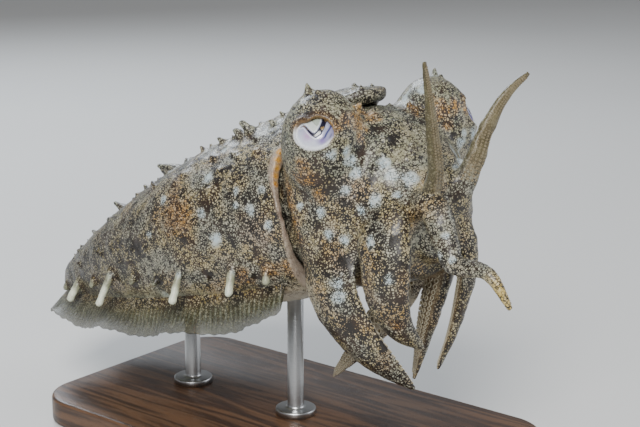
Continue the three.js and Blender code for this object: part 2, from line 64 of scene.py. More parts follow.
# The head along its bent axis: the axis in y and z, half-width, height above and depth below.
HEAD_AXIS_Y = [[0, 14], [0.35, -1], [0.55, -9], [0.78, -17], [1, -25]]
HEAD_AXIS_Z = [[0, -6], [0.35, -0.5], [0.55, -1], [0.78, -2], [1, -4]]
HEAD_WIDTH = [[0, 16], [0.35, 17], [0.55, 17.5], [0.78, 14.5], [0.93, 11], [1, 8]]
HEAD_TOP = [[0, 14], [0.35, 18.8], [0.55, 20.2], [0.78, 16], [0.93, 11.5], [1, 8]]
HEAD_CHIN = [[0, 12], [0.35, 15], [0.55, 16], [0.78, 14], [0.93, 10.5], [1, 7.5]]
NECK_WIDTH = [[0, 16.5], [0.25, 18], [0.36, 19.3], [0.5, 19.5], [0.72, 18.2], [0.9, 15.5], [1, 11]]
NECK = {"back": 8, "front": -11, "top": 0.74, "chin": 0.66, "full": 0.1}
BULGE_PLACE = [14, -6.9, 13.2]
BULGE_REACH = [8.1, 8.6, 11]
EYE_RADIUS = 6.6
EYE_LOOK = [0.7, -0.64, 0.34]
EYE_DEPTH = 2.2
FIN = {"width": 8.5, "root": 1.5, "edge": 0.3, "ripple": 1.3, "rays": 64}
FUNNEL = {"back": [0, 8, -13.2], "front": [0, -10, -17.6], "wide": 4.6, "narrow": 3.1, "bore": 1.9}
BEAK = {"place": [0, -27, -4], "length": 5.5, "radius": 2.1}
TIP = 0.5
SUCKERS = {"from": 0.36, "to": 0.975, "stagger": 0.012, "share": 0.17, "least": 0.26, "most": 0.8}

# Each arm: half-width at the root, how full it stays, thickness as a share of width,
# the way its back faces, its keel, and its path in the head's frame.
ARMS = {
    "arm_1_right": (3.3, 1, 0.8, [-0.4, 0.9, 0.2], 0, [
        [-2, -17, -1], [-4.3, -26, 3], [-6.5, -31.5, 10.5],
        [-8.5, -33, 18], [-10, -33.3, 25.5], [-11.5, -33.5, 32.4]]),
    "arm_1_left": (3.3, 1, 0.8, [0.4, 0.9, 0.2], 0, [
        [2, -17, -1], [4.3, -24.5, 3], [7, -27, 10],
        [10.5, -27.3, 17.5], [14.5, -28.3, 23.5], [19, -29.4, 27.2]]),
    "arm_2_right": (3.9, 1.3, 0.8, [-0.6, 0.1, 0.8], 0, [
        [-5, -17, -3], [-6.5, -29.5, 4.5], [-8.3, -36.3, 0],
        [-9.3, -40.5, -4], [-8.8, -48.5, -4], [-8, -53.8, -9.5]]),
    "arm_2_left": (3.7, 1.3, 0.8, [0.7, -0.7, 0.1], 0, [
        [4, -15, -2], [7.5, -23, -4], [7.5, -25.5, -10.5],
        [6.5, -25, -18], [5, -24, -25], [3, -22.5, -32]]),
    "arm_3_right": (6, 3, 0.55, [-1, -0.3, 0.1], 0, [
        [-7, -17, 4], [-12, -23.5, 0], [-13.8, -26, -6.5],
        [-13.4, -26.4, -13.5], [-10.8, -26.8, -19.5], [-6, -28.3, -24.2]]),
    "arm_3_left": (4.6, 2.4, 0.6, [1, -0.3, 0.1], 0, [
        [6, -13, 3], [9, -16.5, -4], [8, -17.5, -12],
        [5.8, -17.2, -20], [3.8, -16.8, -28], [1.5, -17, -35.5]]),
    "arm_4_right": (8, 3, 0.46, [-1, -0.1, -0.25], -0.5, [
        [-6, -8, 3], [-12.5, -9.5, -5], [-15.3, -11.5, -12.5],
        [-14.7, -15, -19.5], [-11.2, -20, -26.8], [-5, -25, -33.8]]),
    "arm_4_left": (6.2, 2.4, 0.52, [1, -0.1, -0.25], 0.5, [
        [8, -8, 3], [12, -7, -5], [12.8, -4.5, -13.5],
        [11.5, -0.5, -22.5], [9, 5.5, -32.5], [5, 14.5, -45]]),
}
LENGTH_NAMES = ["root", "middle", "tip"]

CELLS_PER_MM = 1.85  # of the skin's speckle
VOXEL = 0.38  # size of the grid that the skins are fused in
BAND = 8  # its cells on each side of a surface
NEAR_MOUTH = np.array([0, -20, -3])  # the arms melt together here


# Numbers

def smoothstep(x, low, high):
    t = np.clip((x - low) / (high - low), 0, 1)
    return t * t * (3 - 2 * t)


def along(table, u):
    """Smooth value at share u through [share, value] pairs."""
    pairs = np.array(table, float)
    u = np.asarray(u, float)
    i = np.clip(np.searchsorted(pairs[:, 0], u, side="left") - 1, 0, len(pairs) - 2)
    behind = np.maximum(np.arange(len(pairs)) - 1, 0)
    ahead = np.minimum(np.arange(len(pairs)) + 1, len(pairs) - 1)
    slope = (pairs[ahead, 1] - pairs[behind, 1]) / (pairs[ahead, 0] - pairs[behind, 0])
    span = pairs[i + 1, 0] - pairs[i, 0]
    t = np.clip((u - pairs[i, 0]) / span, 0, 1)
    v0 = pairs[i, 1]
    v1 = pairs[i + 1, 1]
    bend = (t**3 - 2 * t * t + t) * span * slope[i] + (t**3 - t * t) * span * slope[i + 1]
    return v0 + (v1 - v0) * t * t * (3 - 2 * t) + bend


def height_at(up, u, above, below):
    """Smooth height at share u, from one table above the middle and another below it."""
    return np.where(up > 0, along(above, u), along(below, u))


def unit(v):
    v = np.asarray(v, float)
    return v / np.linalg.norm(v, axis=-1, keepdims=True)


def turned(points, axis, degrees):
    """Points turned about a coordinate axis, 0 for X and 2 for Z."""
    c = math.cos(math.radians(degrees))
    s = math.sin(math.radians(degrees))
    a = (axis + 1) % 3
    b = (axis + 2) % 3
    out = np.array(points, float)
    out[..., a] = c * points[..., a] - s * points[..., b]
    out[..., b] = s * points[..., a] + c * points[..., b]
    return out


def mantle_to_row(points):
    return turned(points, 0, MANTLE_PITCH) + [0, SHIFT_Y, LIFT]


def row_to_mantle(points):
    return turned(points - [0, SHIFT_Y, LIFT], 0, -MANTLE_PITCH)


def head_to_row(points):
    return turned(points, 2, HEAD_YAW) + [0, SHIFT_Y, LIFT]


def row_to_head(points):
    return turned(points - [0, SHIFT_Y, LIFT], 2, -HEAD_YAW)


# The body's forms

def rim_y(angle):
    up = np.sin(angle)
    over = RIM - (TONGUE + RIM) * np.maximum(up, 0) ** 7
    return np.where(up > 0, over, RIM + 7 * np.maximum(-up, 0) ** 1.5)


def tongue_lift(angle, y, near):
    bent = np.clip((-2 - y) / 12, 0, 1.3) ** 2
    return np.maximum(0, np.sin(angle)) ** 8 * (TONGUE_RISE * near - TONGUE_DROOP * bent)


def mantle_point(u, angle, grow=0.0):
    side = along(MANTLE_WIDTH, u) + grow
    tall = height_at(np.sin(angle), u, MANTLE_TOP, MANTLE_BELLY) + grow
    front = rim_y(angle) - 3 * grow
    y = front + (TAIL_Y + grow - front) * u
    flat = 1 + 0.06 * np.sin(2 * angle) ** 2
    near = 1 - smoothstep(u, 0, 0.35)
    rise = tongue_lift(angle, y, near)
    return np.stack([side * flat * np.cos(angle), y, (tall * flat + rise) * np.sin(angle)], -1)


def collar_point(u, angle):
    y = -TONGUE - 6 + (COLLAR_DEPTH + TONGUE + 6) * u
    side = along(MANTLE_WIDTH, 0.04) - WALL
    tall = height_at(np.sin(angle), 0.04, MANTLE_TOP, MANTLE_BELLY) - WALL
    rise = tongue_lift(angle, y, 1)
    return np.stack([side * np.cos(angle), y + 0 * angle, (tall + rise) * np.sin(angle)], -1)


def head_point(u, angle):
    step = np.where(u > 0.99, -0.01, 0.01)
    y = along(HEAD_AXIS_Y, u)
    z = along(HEAD_AXIS_Z, u)
    rise = (along(HEAD_AXIS_Z, u + step) - z) / (along(HEAD_AXIS_Y, u + step) - y)
    above = unit(np.stack([0 * rise, -rise, 1 + 0 * rise], -1))
    tall = height_at(np.sin(angle), u, HEAD_TOP, HEAD_CHIN)
    flat = 1 + 0.05 * np.sin(2 * angle) ** 2
    middle = np.stack([along(HEAD_WIDTH, u) * flat * np.cos(angle), y, z], -1)
    return middle + above * (tall * flat * np.sin(angle))[..., None]


def neck_point(u, angle):
    side = along(NECK_WIDTH, u)
    tall = side * np.where(np.sin(angle) > 0, NECK["top"], NECK["chin"])
    full = 1 + (NECK["full"] + 0.1 * (np.sin(angle) < 0)) * np.sin(2 * angle) ** 2
    y = NECK["back"] + (NECK["front"] - NECK["back"]) * u
    return np.stack([side * full * np.cos(angle), y, tall * full * np.sin(angle)], -1)


def fin_degrees(u):
    return -44 + 18 * u


class Arm:
    """One arm's middle line, frame and width at any share t of its length."""

    def __init__(self, wide, full, thick, back, keel, points):
        self.wide = wide
        self.full = full
        self.thick = thick
        self.back = unit(back)
        self.keel = keel
        p = np.array(points, float)
        p = np.vstack([2 * p[0] - p[1], p, 2 * p[-1] - p[-2]])
        line = []
        for i in range(1, len(p) - 2):
            w = np.linspace(0, 1, 80, endpoint=False)[:, None]
            v0 = (p[i + 1] - p[i - 1]) / 2
            v1 = (p[i + 2] - p[i]) / 2
            cubic = 2 * p[i] - 2 * p[i + 1] + v0 + v1
            square = -3 * p[i] + 3 * p[i + 1] - 2 * v0 - v1
            line.append(cubic * w**3 + square * w * w + v0 * w + p[i])
        self.line = np.vstack(line + [p[-2][None]])
        steps = np.linalg.norm(np.diff(self.line, axis=0), axis=1)
        self.at = np.concatenate([[0], np.cumsum(steps)])
        self.length = self.at[-1]

    def middle(self, t):
        s = np.clip(t, 0, 1) * self.length
        return np.stack([np.interp(s, self.at, self.line[:, k]) for k in range(3)], -1)

    def frame(self, t):
        t = np.asarray(t, float)
        ahead = unit(self.middle(np.minimum(t + 0.004, 1)) - self.middle(np.maximum(t - 0.004, 0)))
        back = unit(self.back - ahead * (ahead @ self.back)[..., None])
        side = np.cross(ahead, back)
        root = np.minimum(1, 0.6 + 1.4 * t)
        half = TIP + (self.wide * root - TIP) * np.maximum(0, 1 - t**self.full) ** 0.9
        return self.middle(t), side, back, half

    def thickness(self, angle):
        keel = np.maximum(0, np.sign(self.keel) * np.cos(angle)) * abs(self.keel)
        return self.thick * np.where(np.sin(angle) > 0, 1, 0.7) * (1 - keel)

    def surface(self, t, angle):
        middle, side, back, half = self.frame(t)
        thick = half * self.thickness(angle)
        across = side * (half * np.cos(angle))[..., None]
        return middle + across + back * (thick * np.sin(angle))[..., None]


arms = {name: Arm(*sizes) for name, sizes in ARMS.items()}


# Meshes and the grid that fuses them

def net(rows, columns, first=0, closed=True):
    """Quads between rows of points, each row closed on itself or open."""
    i, j = np.meshgrid(np.arange(rows - 1), np.arange(columns if closed else columns - 1), indexing="ij")
    a = first + i * columns + j
    b = first + i * columns + (j + 1) % columns
    return np.stack([a, b, b + columns, a + columns], -1).reshape(-1, 4)


def fan(sides, first, middle, way):
    """Triangles from a ring of points to a middle one, forwards or backwards."""
    j = np.arange(sides)
    pair = [first + j, first + (j + 1) % sides]
    return np.stack(pair[::way] + [np.full(sides, middle)], -1)


def halves(quads):
    return np.vstack([quads[:, [0, 1, 2]], quads[:, [0, 2, 3]]])


def tube(place, steps, sides):
    """Corners and quads of a form drawn over shares 0 to 1 and angles, with its ends closed."""
    turn = np.arange(sides) * 2 * math.pi / sides
    u, angle = np.meshgrid(np.linspace(0, 1, steps + 1), turn, indexing="ij")
    points = place(u, angle).reshape(-1, 3)
    ends = [points[:sides].mean(0), points[-sides:].mean(0)]
    front = fan(sides, 0, len(points), -1)
    rear = fan(sides, steps * sides, len(points) + 1, 1)
    caps = np.vstack([front, rear])[:, [0, 1, 2, 2]]
    return np.vstack([points, ends]), np.vstack([net(steps + 1, sides), caps])


class Field:
    """Distances to a surface on a box of grid points, below 0 inside it."""

    def __init__(self, low, high):
        self.low = np.floor(np.array(low) / VOXEL).astype(int)
        self.shape = tuple(np.ceil(np.array(high) / VOXEL).astype(int) - self.low + 1)
        self.far = BAND * VOXEL
        self.value = np.full(self.shape, self.far, np.float32)

    def part(self, low, high):
        """The slices that hold a smaller box, and its first grid point."""
        first = np.maximum(np.floor((np.array(low) - self.far) / VOXEL).astype(int) - self.low, 0)
        last = np.minimum(np.ceil((np.array(high) + self.far) / VOXEL).astype(int) - self.low, self.shape)
        return tuple(slice(a, b) for a, b in zip(first, last)), first + self.low

    def spots(self, cut):
        axes = [(np.arange(c.start, c.stop) + o) * VOXEL for c, o in zip(cut, self.low)]
        return np.stack(np.meshgrid(*axes, indexing="ij"), -1)

    def of_mesh(self, points, quads):
        """Distances to a closed mesh, near it, and their slices."""
        cut, first = self.part(points.min(0), points.max(0))
        grid = vdb.FloatGrid.createLevelSetFromPolygons(
            np.ascontiguousarray(points, np.float32),
            quads=np.ascontiguousarray(quads, np.uint32),
            transform=vdb.createLinearTransform(VOXEL),
            halfWidth=BAND,
        )
        out = np.full([c.stop - c.start for c in cut], self.far, np.float32)
        grid.copyToArray(out, ijk=tuple(int(v) for v in first))
        return out, cut

    def of_ball(self, middle, reach):
        cut, _ = self.part(np.array(middle) - reach, np.array(middle) + reach)
        p = self.spots(cut) - middle
        k = np.linalg.norm(p / reach, axis=-1)
        slope = np.linalg.norm(p / np.square(reach), axis=-1)
        return k * (k - 1) / np.maximum(slope, 1e-6), cut

    def of_cone(self, root, tip, wide, narrow):
        """Distances to a round-ended finger."""
        root = np.array(root, float)
        tip = np.array(tip, float)
        cut, _ = self.part(np.minimum(root, tip) - wide, np.maximum(root, tip) + wide)
        p = self.spots(cut) - root
        way = tip - root
        t = np.clip((p @ way) / (way @ way), 0, 1)
        radius = wide + (narrow - wide) * t
        return np.linalg.norm(p - t[..., None] * way, axis=-1) - radius, cut

    def melt(self, other, cut, soft):
        """Joins another form, with a fillet about as wide as soft."""
        here = self.value[cut]
        h = np.maximum(soft - np.abs(here - other), 0) / soft
        self.value[cut] = np.minimum(here, other) - h * h * soft / 4

    def carve(self, other, cut, soft):
        here = self.value[cut]
        h = np.maximum(soft - np.abs(here + other), 0) / soft
        self.value[cut] = np.maximum(here, -other) + h * h * soft / 4

    def melt_tube(self, place, steps, sides, soft):
        self.melt(*self.of_mesh(*tube(place, steps, sides)), soft)

    def mesh(self):
        """The surface as corners and quads."""
        grid = vdb.FloatGrid(self.far)
        grid.copyFromArray(self.value, ijk=tuple(int(v) for v in self.low))
        grid.transform = vdb.createLinearTransform(VOXEL)
        points, quads = grid.convertToQuads(0.0)
        return np.array(points, float), np.array(quads, np.int64)[:, ::-1]


def largest(points, quads):
    """The largest connected surface of a mesh."""
    mark = np.arange(len(points))
    while True:
        low = mark[quads].min(1)
        new = mark.copy()
        np.minimum.at(new, quads.ravel(), np.repeat(low, 4))
        new = new[new]
        if np.array_equal(new, mark):
            break
        mark = new
    names, counts = np.unique(mark[quads[:, 0]], return_counts=True)
    keep = mark == names[counts.argmax()]
    place = np.cumsum(keep) - 1
    return points[keep], place[quads[keep[quads[:, 0]]]]


def add_object(name, data):
    thing = bpy.data.objects.new(name, data)
    bpy.context.scene.collection.objects.link(thing)
    return thing


def to_mesh(name, points, faces):
    """A mesh object from points in millimetres, riding on the root."""
    mesh = bpy.data.meshes.new(name)
    mesh.vertices.add(len(points))
    mesh.vertices.foreach_set("co", (np.asarray(points, np.float32) / 1000).ravel())
    sizes = faces.shape[1]
    mesh.loops.add(faces.size)
    mesh.loops.foreach_set("vertex_index", faces.astype(np.int32).ravel())
    mesh.polygons.add(len(faces))
    mesh.polygons.foreach_set("loop_start", np.arange(len(faces), dtype=np.int32) * sizes)
    mesh.update(calc_edges=True)
    mesh.validate()
    mesh.shade_smooth()
    thing = add_object(name, mesh)
    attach(thing, "root")
    return thing


def set_values(thing, name, values):
    values = np.asarray(values, np.float32)
    if values.ndim == 1:
        thing.data.attributes.new(name, "FLOAT", "POINT").data.foreach_set("value", values)
        return
    rgba = np.ones((len(values), 4), np.float32)
    rgba[:, :3] = values
    thing.data.attributes.new(name, "FLOAT_COLOR", "POINT").data.foreach_set("color", rgba.ravel())


def mesh_normals(points, quads):
    n = np.zeros_like(points)
    face = np.cross(points[quads[:, 2]] - points[quads[:, 0]], points[quads[:, 3]] - points[quads[:, 1]])
    for k in range(4):
        np.add.at(n, quads[:, k], face)
    return n / np.maximum(np.linalg.norm(n, axis=1, keepdims=True), 1e-9)


def waves(points, size, seed=0.0):
    """Smooth noise about 0, with features of a size in millimetres."""
    scaled = np.asarray(points) / size + seed
    return np.array([noise.noise(Vector(p)) for p in scaled])


# Skins

rng = np.random.default_rng(4239)

# Papillae. Along the mantle: the hanging fingers' places, degrees above the fin and lengths,
# and the row along the back with each one's height, radius and lean towards the tail.
FINGERS = [
    [0.07, 13, 3.2], [0.115, 14, 1.4], [0.16, 19, 6.2], [0.24, 17, 1.8], [0.32, 22, 7.2],
    [0.41, 20, 2], [0.5, 25, 2.4], [0.6, 31, 8], [0.7, 28, 2.2], [0.8, 31, 5.6], [0.9, 30, 1.6],
]
BACK_ROW = [
    [0.05, 1, 0.7, 0.5], [0.12, 1.6, 0.9, 0.5], [0.185, 3.3, 1.5, 0.4], [0.215, 2.2, 1.5, 0.6],
    [0.235, 1, 0.7, 0.5], [0.27, 1.7, 0.9, 0.5], [0.33, 1.6, 0.8, 0.5], [0.39, 1, 0.7, 0.5],
    [0.44, 5, 1.2, 2], [0.46, 2.4, 1.3, 2], [0.5, 1, 0.8, 0.5], [0.55, 1.7, 1, 0.5],
    [0.61, 1, 0.7, 0.5], [0.66, 3.4, 1.2, 0.8], [0.73, 1.1, 0.7, 0.5], [0.8, 1.8, 0.9, 0.5],
    [0.88, 1.2, 0.7, 0.5],
]


def mantle_normal(u, angle):
    here = mantle_point(u, angle)
    back = mantle_point(u + 0.01, angle) - here
    round_it = mantle_point(u, angle + 0.01) - here
    out = unit(np.cross(back, round_it))
    return out if out @ [here[0], 0, here[2]] > 0 else -out


def mantle_finger(field, u, degrees, height, radius, lean, hang=0.0, tip=0.4):
    """A soft skin flap on the mantle, as long and thick as named, its end a share as thick."""
    angle = np.float64(math.radians(degrees))
    u = np.float64(u)
    way = unit(mantle_normal(u, angle) + [0, lean, -hang])
    root = mantle_point(u, angle)
    start = root - way * radius * 0.5
    shape, cut = field.of_cone(start, root + way * (height - radius * tip), radius, radius * tip)
    field.melt(shape, cut, 0.8)


def mantle_papillae(field):
    for side in (0, 1):
        turn = (lambda d: 180 - d) if side else (lambda d: d)
        for u, above, length in FINGERS:
            radius = 0.8 if length > 3 else 0.65
            mantle_finger(field, u, turn(fin_degrees(u) + above), length, radius, 0.3, 1.3, 1.05)
        for u, height, radius, lean in BACK_ROW:
            mantle_finger(field, u, turn(64), height, radius, lean)
        for _ in range(80):
            u = rng.uniform(0.03, 0.93)
            degrees = rng.uniform(-20, 88)
            height = rng.uniform(0.35, 1.0) * (1.4 if degrees > 45 else 1)
            mantle_finger(field, u, turn(degrees), height, rng.uniform(0.45, 0.75), 0.4)


def tongue_edge(field):
    """Rounded lumps that make the tongue's edge blunt and thick."""
    for degrees in range(64, 117, 4):
        angle = np.float64(math.radians(degrees))
        place = mantle_point(np.float64(0.012), angle) + [0, 0.6, -1.1]
        size = 1.25 + 0.35 * math.sin(degrees * 1.9)
        field.melt(*field.of_ball(place, np.array([1.5, 1.4, size])), 1.1)
    for u, degrees, height in [(0.02, 97, 1.3), (0.03, 84, 0.9), (0.05, 104, 0.8), (0.06, 90, 1)]:
        mantle_finger(field, u, degrees, height, 0.8, -0.2)


def mantle_field():
    field = Field([-31, -26, -26], [31, 98, 30])
    field.melt_tube(mantle_point, 120, 160, 0.1)
    field.carve(*field.of_mesh(*tube(collar_point, 24, 120)), 0.9)
    tongue_edge(field)
    mantle_papillae(field)
    return field


# The eye's own frame: its middle, and the ways towards the arms, up and out.
def eye_frame(sign):
    out = unit(np.array(EYE_LOOK) * [sign, 1, 1])
    across = unit(np.cross([0, 0, 1], out)) * -sign
    up = np.cross(out, across) * -sign
    middle = np.array(BULGE_PLACE) * [sign, 1, 1] + out * EYE_DEPTH
    return middle, np.stack([across, up, out])


OPENING = {"middle": [-0.4, 1.15], "reach": [3.75, 3.15], "droop": 0.8}


def opening_distance(a, b):
    """How far outside the eye's opening a place is, seen along the eye's look."""
    p = np.stack([a - OPENING["middle"][0], b - OPENING["middle"][1]], -1)
    p[..., 1] += OPENING["droop"] * np.exp(-((p[..., 0] + 1.5) / 1.2) ** 2) * smoothstep(p[..., 1], 0, 2.5)
    reach = np.array(OPENING["reach"])
    k = np.linalg.norm(p / reach, axis=-1)
    return k * (k - 1) / np.maximum(np.linalg.norm(p / reach**2, axis=-1), 1e-6)


def add_eye_skin(field, sign):
    """The bulge of the head round an eye, with its lids and the opening between them."""
    bulge = np.array(BULGE_PLACE) * [sign, 1, 1]
    field.melt(*field.of_ball(bulge, BULGE_REACH), 2.6)
    middle, axes = eye_frame(sign)
    cut, _ = field.part(middle - EYE_RADIUS, middle + EYE_RADIUS)
    local = (field.spots(cut) - middle) @ axes.T
    reach = np.linalg.norm(local, axis=-1)
    gap = opening_distance(local[..., 0], local[..., 1])
    lip = 0.35 + 0.4 * np.exp(-((gap - 0.4) / 0.45) ** 2)
    lip += 0.3 * smoothstep(local[..., 1], 1, 3.6) * np.exp(-((gap - 0.9) / 1.1) ** 2)
    front = smoothstep(local[..., 2], 1, 4)
    field.melt(reach - EYE_RADIUS - lip * front, cut, 1.2)
    field.carve(np.maximum(np.maximum(gap, EYE_RADIUS - 0.2 - reach), 1.5 - local[..., 2]), cut, 0.3)


def head_papillae(field, sign):
    for root, way, height, radius in [
        ([16, -5.4, 23.0], [0.15, 0.25, 1], 2.4, 1.1),
        ([15.5, -6.9, 23.0], [0.3, -0.4, 1], 1.5, 0.9),
        ([9.2, -11.6, 20.6], [0.1, -0.7, 1], 1.4, 0.9),
        ([6, -9, 19.6], [0, -0.3, 1], 0.7, 0.6),
        ([3.5, -6, 19.2], [0, 0.1, 1], 0.6, 0.6),
    ]:
        start = np.array(root) * [sign, 1, 1]
        end = start + unit(np.array(way) * [sign, 1, 1]) * height
        shape, cut = field.of_cone(start, end, radius, radius * 0.35)
        field.melt(shape, cut, 0.9)
    for _ in range(45):
        angle = np.float64(rng.uniform(-0.9, 1.5))
        place = head_point(np.float64(rng.uniform(0.3, 0.85)), angle) * [sign, 1, 1]
        radius = rng.uniform(0.4, 0.7)
        field.melt(*field.of_ball(place, np.full(3, radius)), 0.9)


def funnel_tube(u, angle, wide, narrow):
    start = np.array(FUNNEL["back"])
    way = np.array(FUNNEL["front"]) - start
    radius = wide + (narrow - wide) * u
    middle = start + way * u[..., None]
    middle[..., 2] += 1.5 * np.sin(math.pi * np.clip(u, 0, 1))
    middle[..., 0] += radius * 1.15 * np.cos(angle)
    middle[..., 2] += radius * np.sin(angle)
    return turned(middle, 2, -HEAD_YAW)


def head_field():
    low, high = [-34, -60, -48], [34, 20, 40]
    field = Field(low, high)
    field.melt_tube(head_point, 80, 160, 0.1)
    to_head = lambda place: lambda u, angle: row_to_head(mantle_to_row(place(u, angle)))
    field.melt_tube(to_head(neck_point), 40, 120, 2)
    for sign in (-1, 1):
        add_eye_skin(field, sign)
        head_papillae(field, sign)
    mass = np.array(BEAK["place"]) + [0, 3, 0]
    field.melt(*field.of_ball(mass, np.array([5, 4.5, 5])), 1)
    field.carve(*field.of_ball(mass + [0, -4.2, 0], np.array([2.3, 2.2, 2.3])), 0.8)
    everywhere = tuple(slice(0, n) for n in field.shape)
    away = np.linalg.norm(field.spots(everywhere) - NEAR_MOUTH, axis=-1)
    soft = (0.6 + 2 * (1 - smoothstep(away, 6, 16))).astype(np.float32)
    crown = Field(low, high)
    for arm in arms.values():
        shape, cut = crown.of_mesh(*tube(arm.surface, 120, 40))
        crown.melt(shape, cut, soft[cut])
    field.melt(crown.value, everywhere, 2.2)
    wide, narrow, hole = FUNNEL["wide"], FUNNEL["narrow"], FUNNEL["bore"]
    field.melt_tube(lambda u, angle: funnel_tube(u, angle, wide, narrow), 30, 40, 0.9)
    bore = tube(lambda u, angle: funnel_tube(0.7 + 0.4 * u, angle, hole, hole), 6, 32)
    field.carve(*field.of_mesh(*bore), 0.5)
    body, cut = field.of_mesh(*tube(to_head(lambda u, angle: mantle_point(u, angle, 0.3)), 60, 120))
    groove = field.of_mesh(*tube(to_head(collar_point), 24, 120))
    hollow = np.full(field.shape, field.far, np.float32)
    hollow[groove[1]] = groove[0]
    field.carve(np.maximum(body, -hollow[cut]), cut, 0.3)
    return field


def roughen(points, quads, strength):
    """Soft lumps of two sizes over a skin."""
    normals = mesh_normals(points, quads)
    lumps = 0.22 * waves(points, 3.2, 11) + 0.13 * waves(points, 1.5, 5) + 0.05 * waves(points, 0.8, 2)
    return points + normals * (lumps * strength)[:, None]


def on_arms(points):
    """For each point in the head's frame: the nearest arm, the share along it, how far it is
    from its middle line in half-widths, and how far towards its back."""
    batch = 20000
    found = np.zeros((4, len(points)))
    found[2] = np.inf
    for k, arm in enumerate(arms.values()):
        t = np.linspace(0, 1, 90)
        middle, _, back, half = arm.frame(t)
        for start in range(0, len(points), batch):
            part = slice(start, start + batch)
            offset = points[part, None] - middle[None]
            distance = np.linalg.norm(offset, axis=2) / (half + 0.6)
            near = distance.argmin(1)
            rows = np.arange(len(near))
            lean = (offset[rows, near] * back[near]).sum(1) / (half[near] * arm.thick)
            here = np.stack([np.full(len(near), k), t[near], distance[rows, near], lean])
            found[:, part] = np.where(here[2] < found[2, part], here, found[:, part])
    return found


# Markings, and painted shade in the crease beside the near eye's bulge. Each spot is a place in
# the 640 by 427 view from the front right, and its size in the same units, laid on the skin there
# and mirrored to the other side.
VIEW = {"place": [-231.7, -196.8, 126.9], "azimuth": -51, "elevation": 14, "lens": 81.8,
        "sensor": 36, "width": 640, "height": 427, "pixels_per_mm": 5.2}
PALE = [
    [338, 284, 8], [338, 297, 9], [361, 294, 5], [388, 281, 6], [370, 243, 7], [361, 210, 6],
    [321, 213, 6], [300, 206, 5], [398, 195, 6], [330, 235, 6], [345, 240, 6], [385, 162, 8],
    [357, 174, 7], [405, 97, 7], [423, 90, 6], [464, 133, 5], [446, 236, 4], [452, 260, 4],
    [440, 256, 4], [236, 191, 5], [236, 205, 5], [163, 200, 6], [149, 234, 5], [216, 239, 8],
    [201, 213, 7], [269, 226, 6], [410, 178, 9], [392, 175, 8], [350, 160, 7], [375, 200, 8],
    [233, 274, 5], [229, 290, 6], [178, 276, 5], [168, 297, 8], [108, 276, 5], [101, 300, 8],
    [266, 280, 4], [70, 295, 6], [224, 150, 6], [208, 178, 7], [262, 190, 6], [250, 210, 7],
    [415, 78, 4], [160, 170, 9], [246, 117, 4], [330, 155, 7], [345, 190, 6],
]
# Dark blotches of the skin. The spots at 375, 130, at 360, 150 and at 392, 140 are painted shade in the
# crease right of the near eye's bulge.
DARK_AND_CREASE_SHADE = [
    [318, 180, 8], [328, 187, 8], [308, 114, 5], [207, 276, 7], [158, 281, 7], [135, 284, 7],
    [256, 276, 6], [233, 243, 6], [257, 251, 6], [138, 251, 10], [183, 239, 6], [216, 181, 6],
    [206, 204, 6], [345, 262, 8], [372, 180, 6], [395, 240, 7], [375, 215, 5], [352, 325, 9],
    [385, 345, 8], [250, 160, 5], [228, 168, 5], [345, 205, 5], [402, 300, 6], [305, 195, 6],
    [375, 130, 9], [392, 140, 7], [360, 150, 5], [280, 215, 5], [120, 262, 6],
]
OCHRE = [
    [289, 190, 9], [291, 205, 9], [295, 222, 9], [299, 238, 8], [337, 128, 5], [178, 217, 24],
    [245, 276, 13], [268, 273, 13], [288, 268, 12], [398, 326, 9], [440, 110, 15], [412, 108, 12],
    [310, 178, 13], [303, 165, 9], [320, 195, 10], [311, 84, 6], [357, 105, 5], [300, 180, 10],
    [455, 105, 9], [447, 125, 7],
]
PINK = [[258, 232, 26], [350, 190, 16], [340, 262, 14], [300, 140, 9]]
LENS = [[279, 152, 4], [278, 160, 5], [277, 168, 5], [276, 176, 5], [276, 184, 4]]


def view_axes():
    azimuth = math.radians(VIEW["azimuth"])
    elevation = math.radians(VIEW["elevation"])
    back = np.array([
        math.sin(azimuth) * math.cos(elevation),
        -math.cos(azimuth) * math.cos(elevation),
        math.sin(elevation),
    ])
    right = np.array([math.cos(azimuth), math.sin(azimuth), 0])
    return right, np.cross(back, right), back


class Spotter:
    """Lays spots of the view on the skins."""

    def __init__(self, skins):
        self.trees = [BVHTree.FromPolygons(p.tolist(), q.tolist()) for p, q in skins]

    def hit(self, x, y):
        right, up, back = view_axes()
        focal = VIEW["lens"] / VIEW["sensor"] * VIEW["width"]
        across = (x - VIEW["width"] / 2) / focal
        rise = (VIEW["height"] / 2 - y) / focal
        way = Vector(right * across + up * rise - back).normalized()
        found = [tree.ray_cast(Vector(VIEW["place"]), way) for tree in self.trees]
        found = [f for f in found if f[0] is not None]
        return np.array(min(found, key=lambda f: f[3])[0]) if found else None

    def weigh(self, points, spots, to_own, to_row, seed, ragged=1.0):
        """How strongly each point lies in the spots or their mirror images."""
        wobble = 1 + ragged * (0.5 * waves(points, 1.6, seed) + 0.25 * waves(points, 0.7, seed + 3))
        total = np.zeros(len(points))
        for x, y, size in spots:
            middle = self.hit(x, y)
            if middle is None:
                continue
            other = to_row(to_own(middle) * [-1, 1, 1])
            for place in (middle, other):
                away = np.linalg.norm(points - place, axis=1) / (size / VIEW["pixels_per_mm"])
                total = np.maximum(total, 1 - smoothstep(away * wobble, 0.35, 1.3))
        return total


def srgb(*rgb):
    c = np.array(rgb, float) / 255
    return np.where(c <= 0.04045, c / 12.92, ((c + 0.055) / 1.055) ** 2.4)


def blend(a, b, share):
    share = np.asarray(share, float)[:, None]
    return a * (1 - share) + b * share


CREAM = srgb(158, 144, 100)
GREY = srgb(128, 134, 126)
WHITE = srgb(176, 194, 202)
GOLD = srgb(172, 120, 14)
ROSE = srgb(150, 124, 106)
GREEN = srgb(110, 124, 62)
INK = srgb(25, 19, 14)
UMBER = srgb(54, 34, 13)
OLIVE = srgb(84, 78, 34)
BELLY = srgb(186, 176, 156)


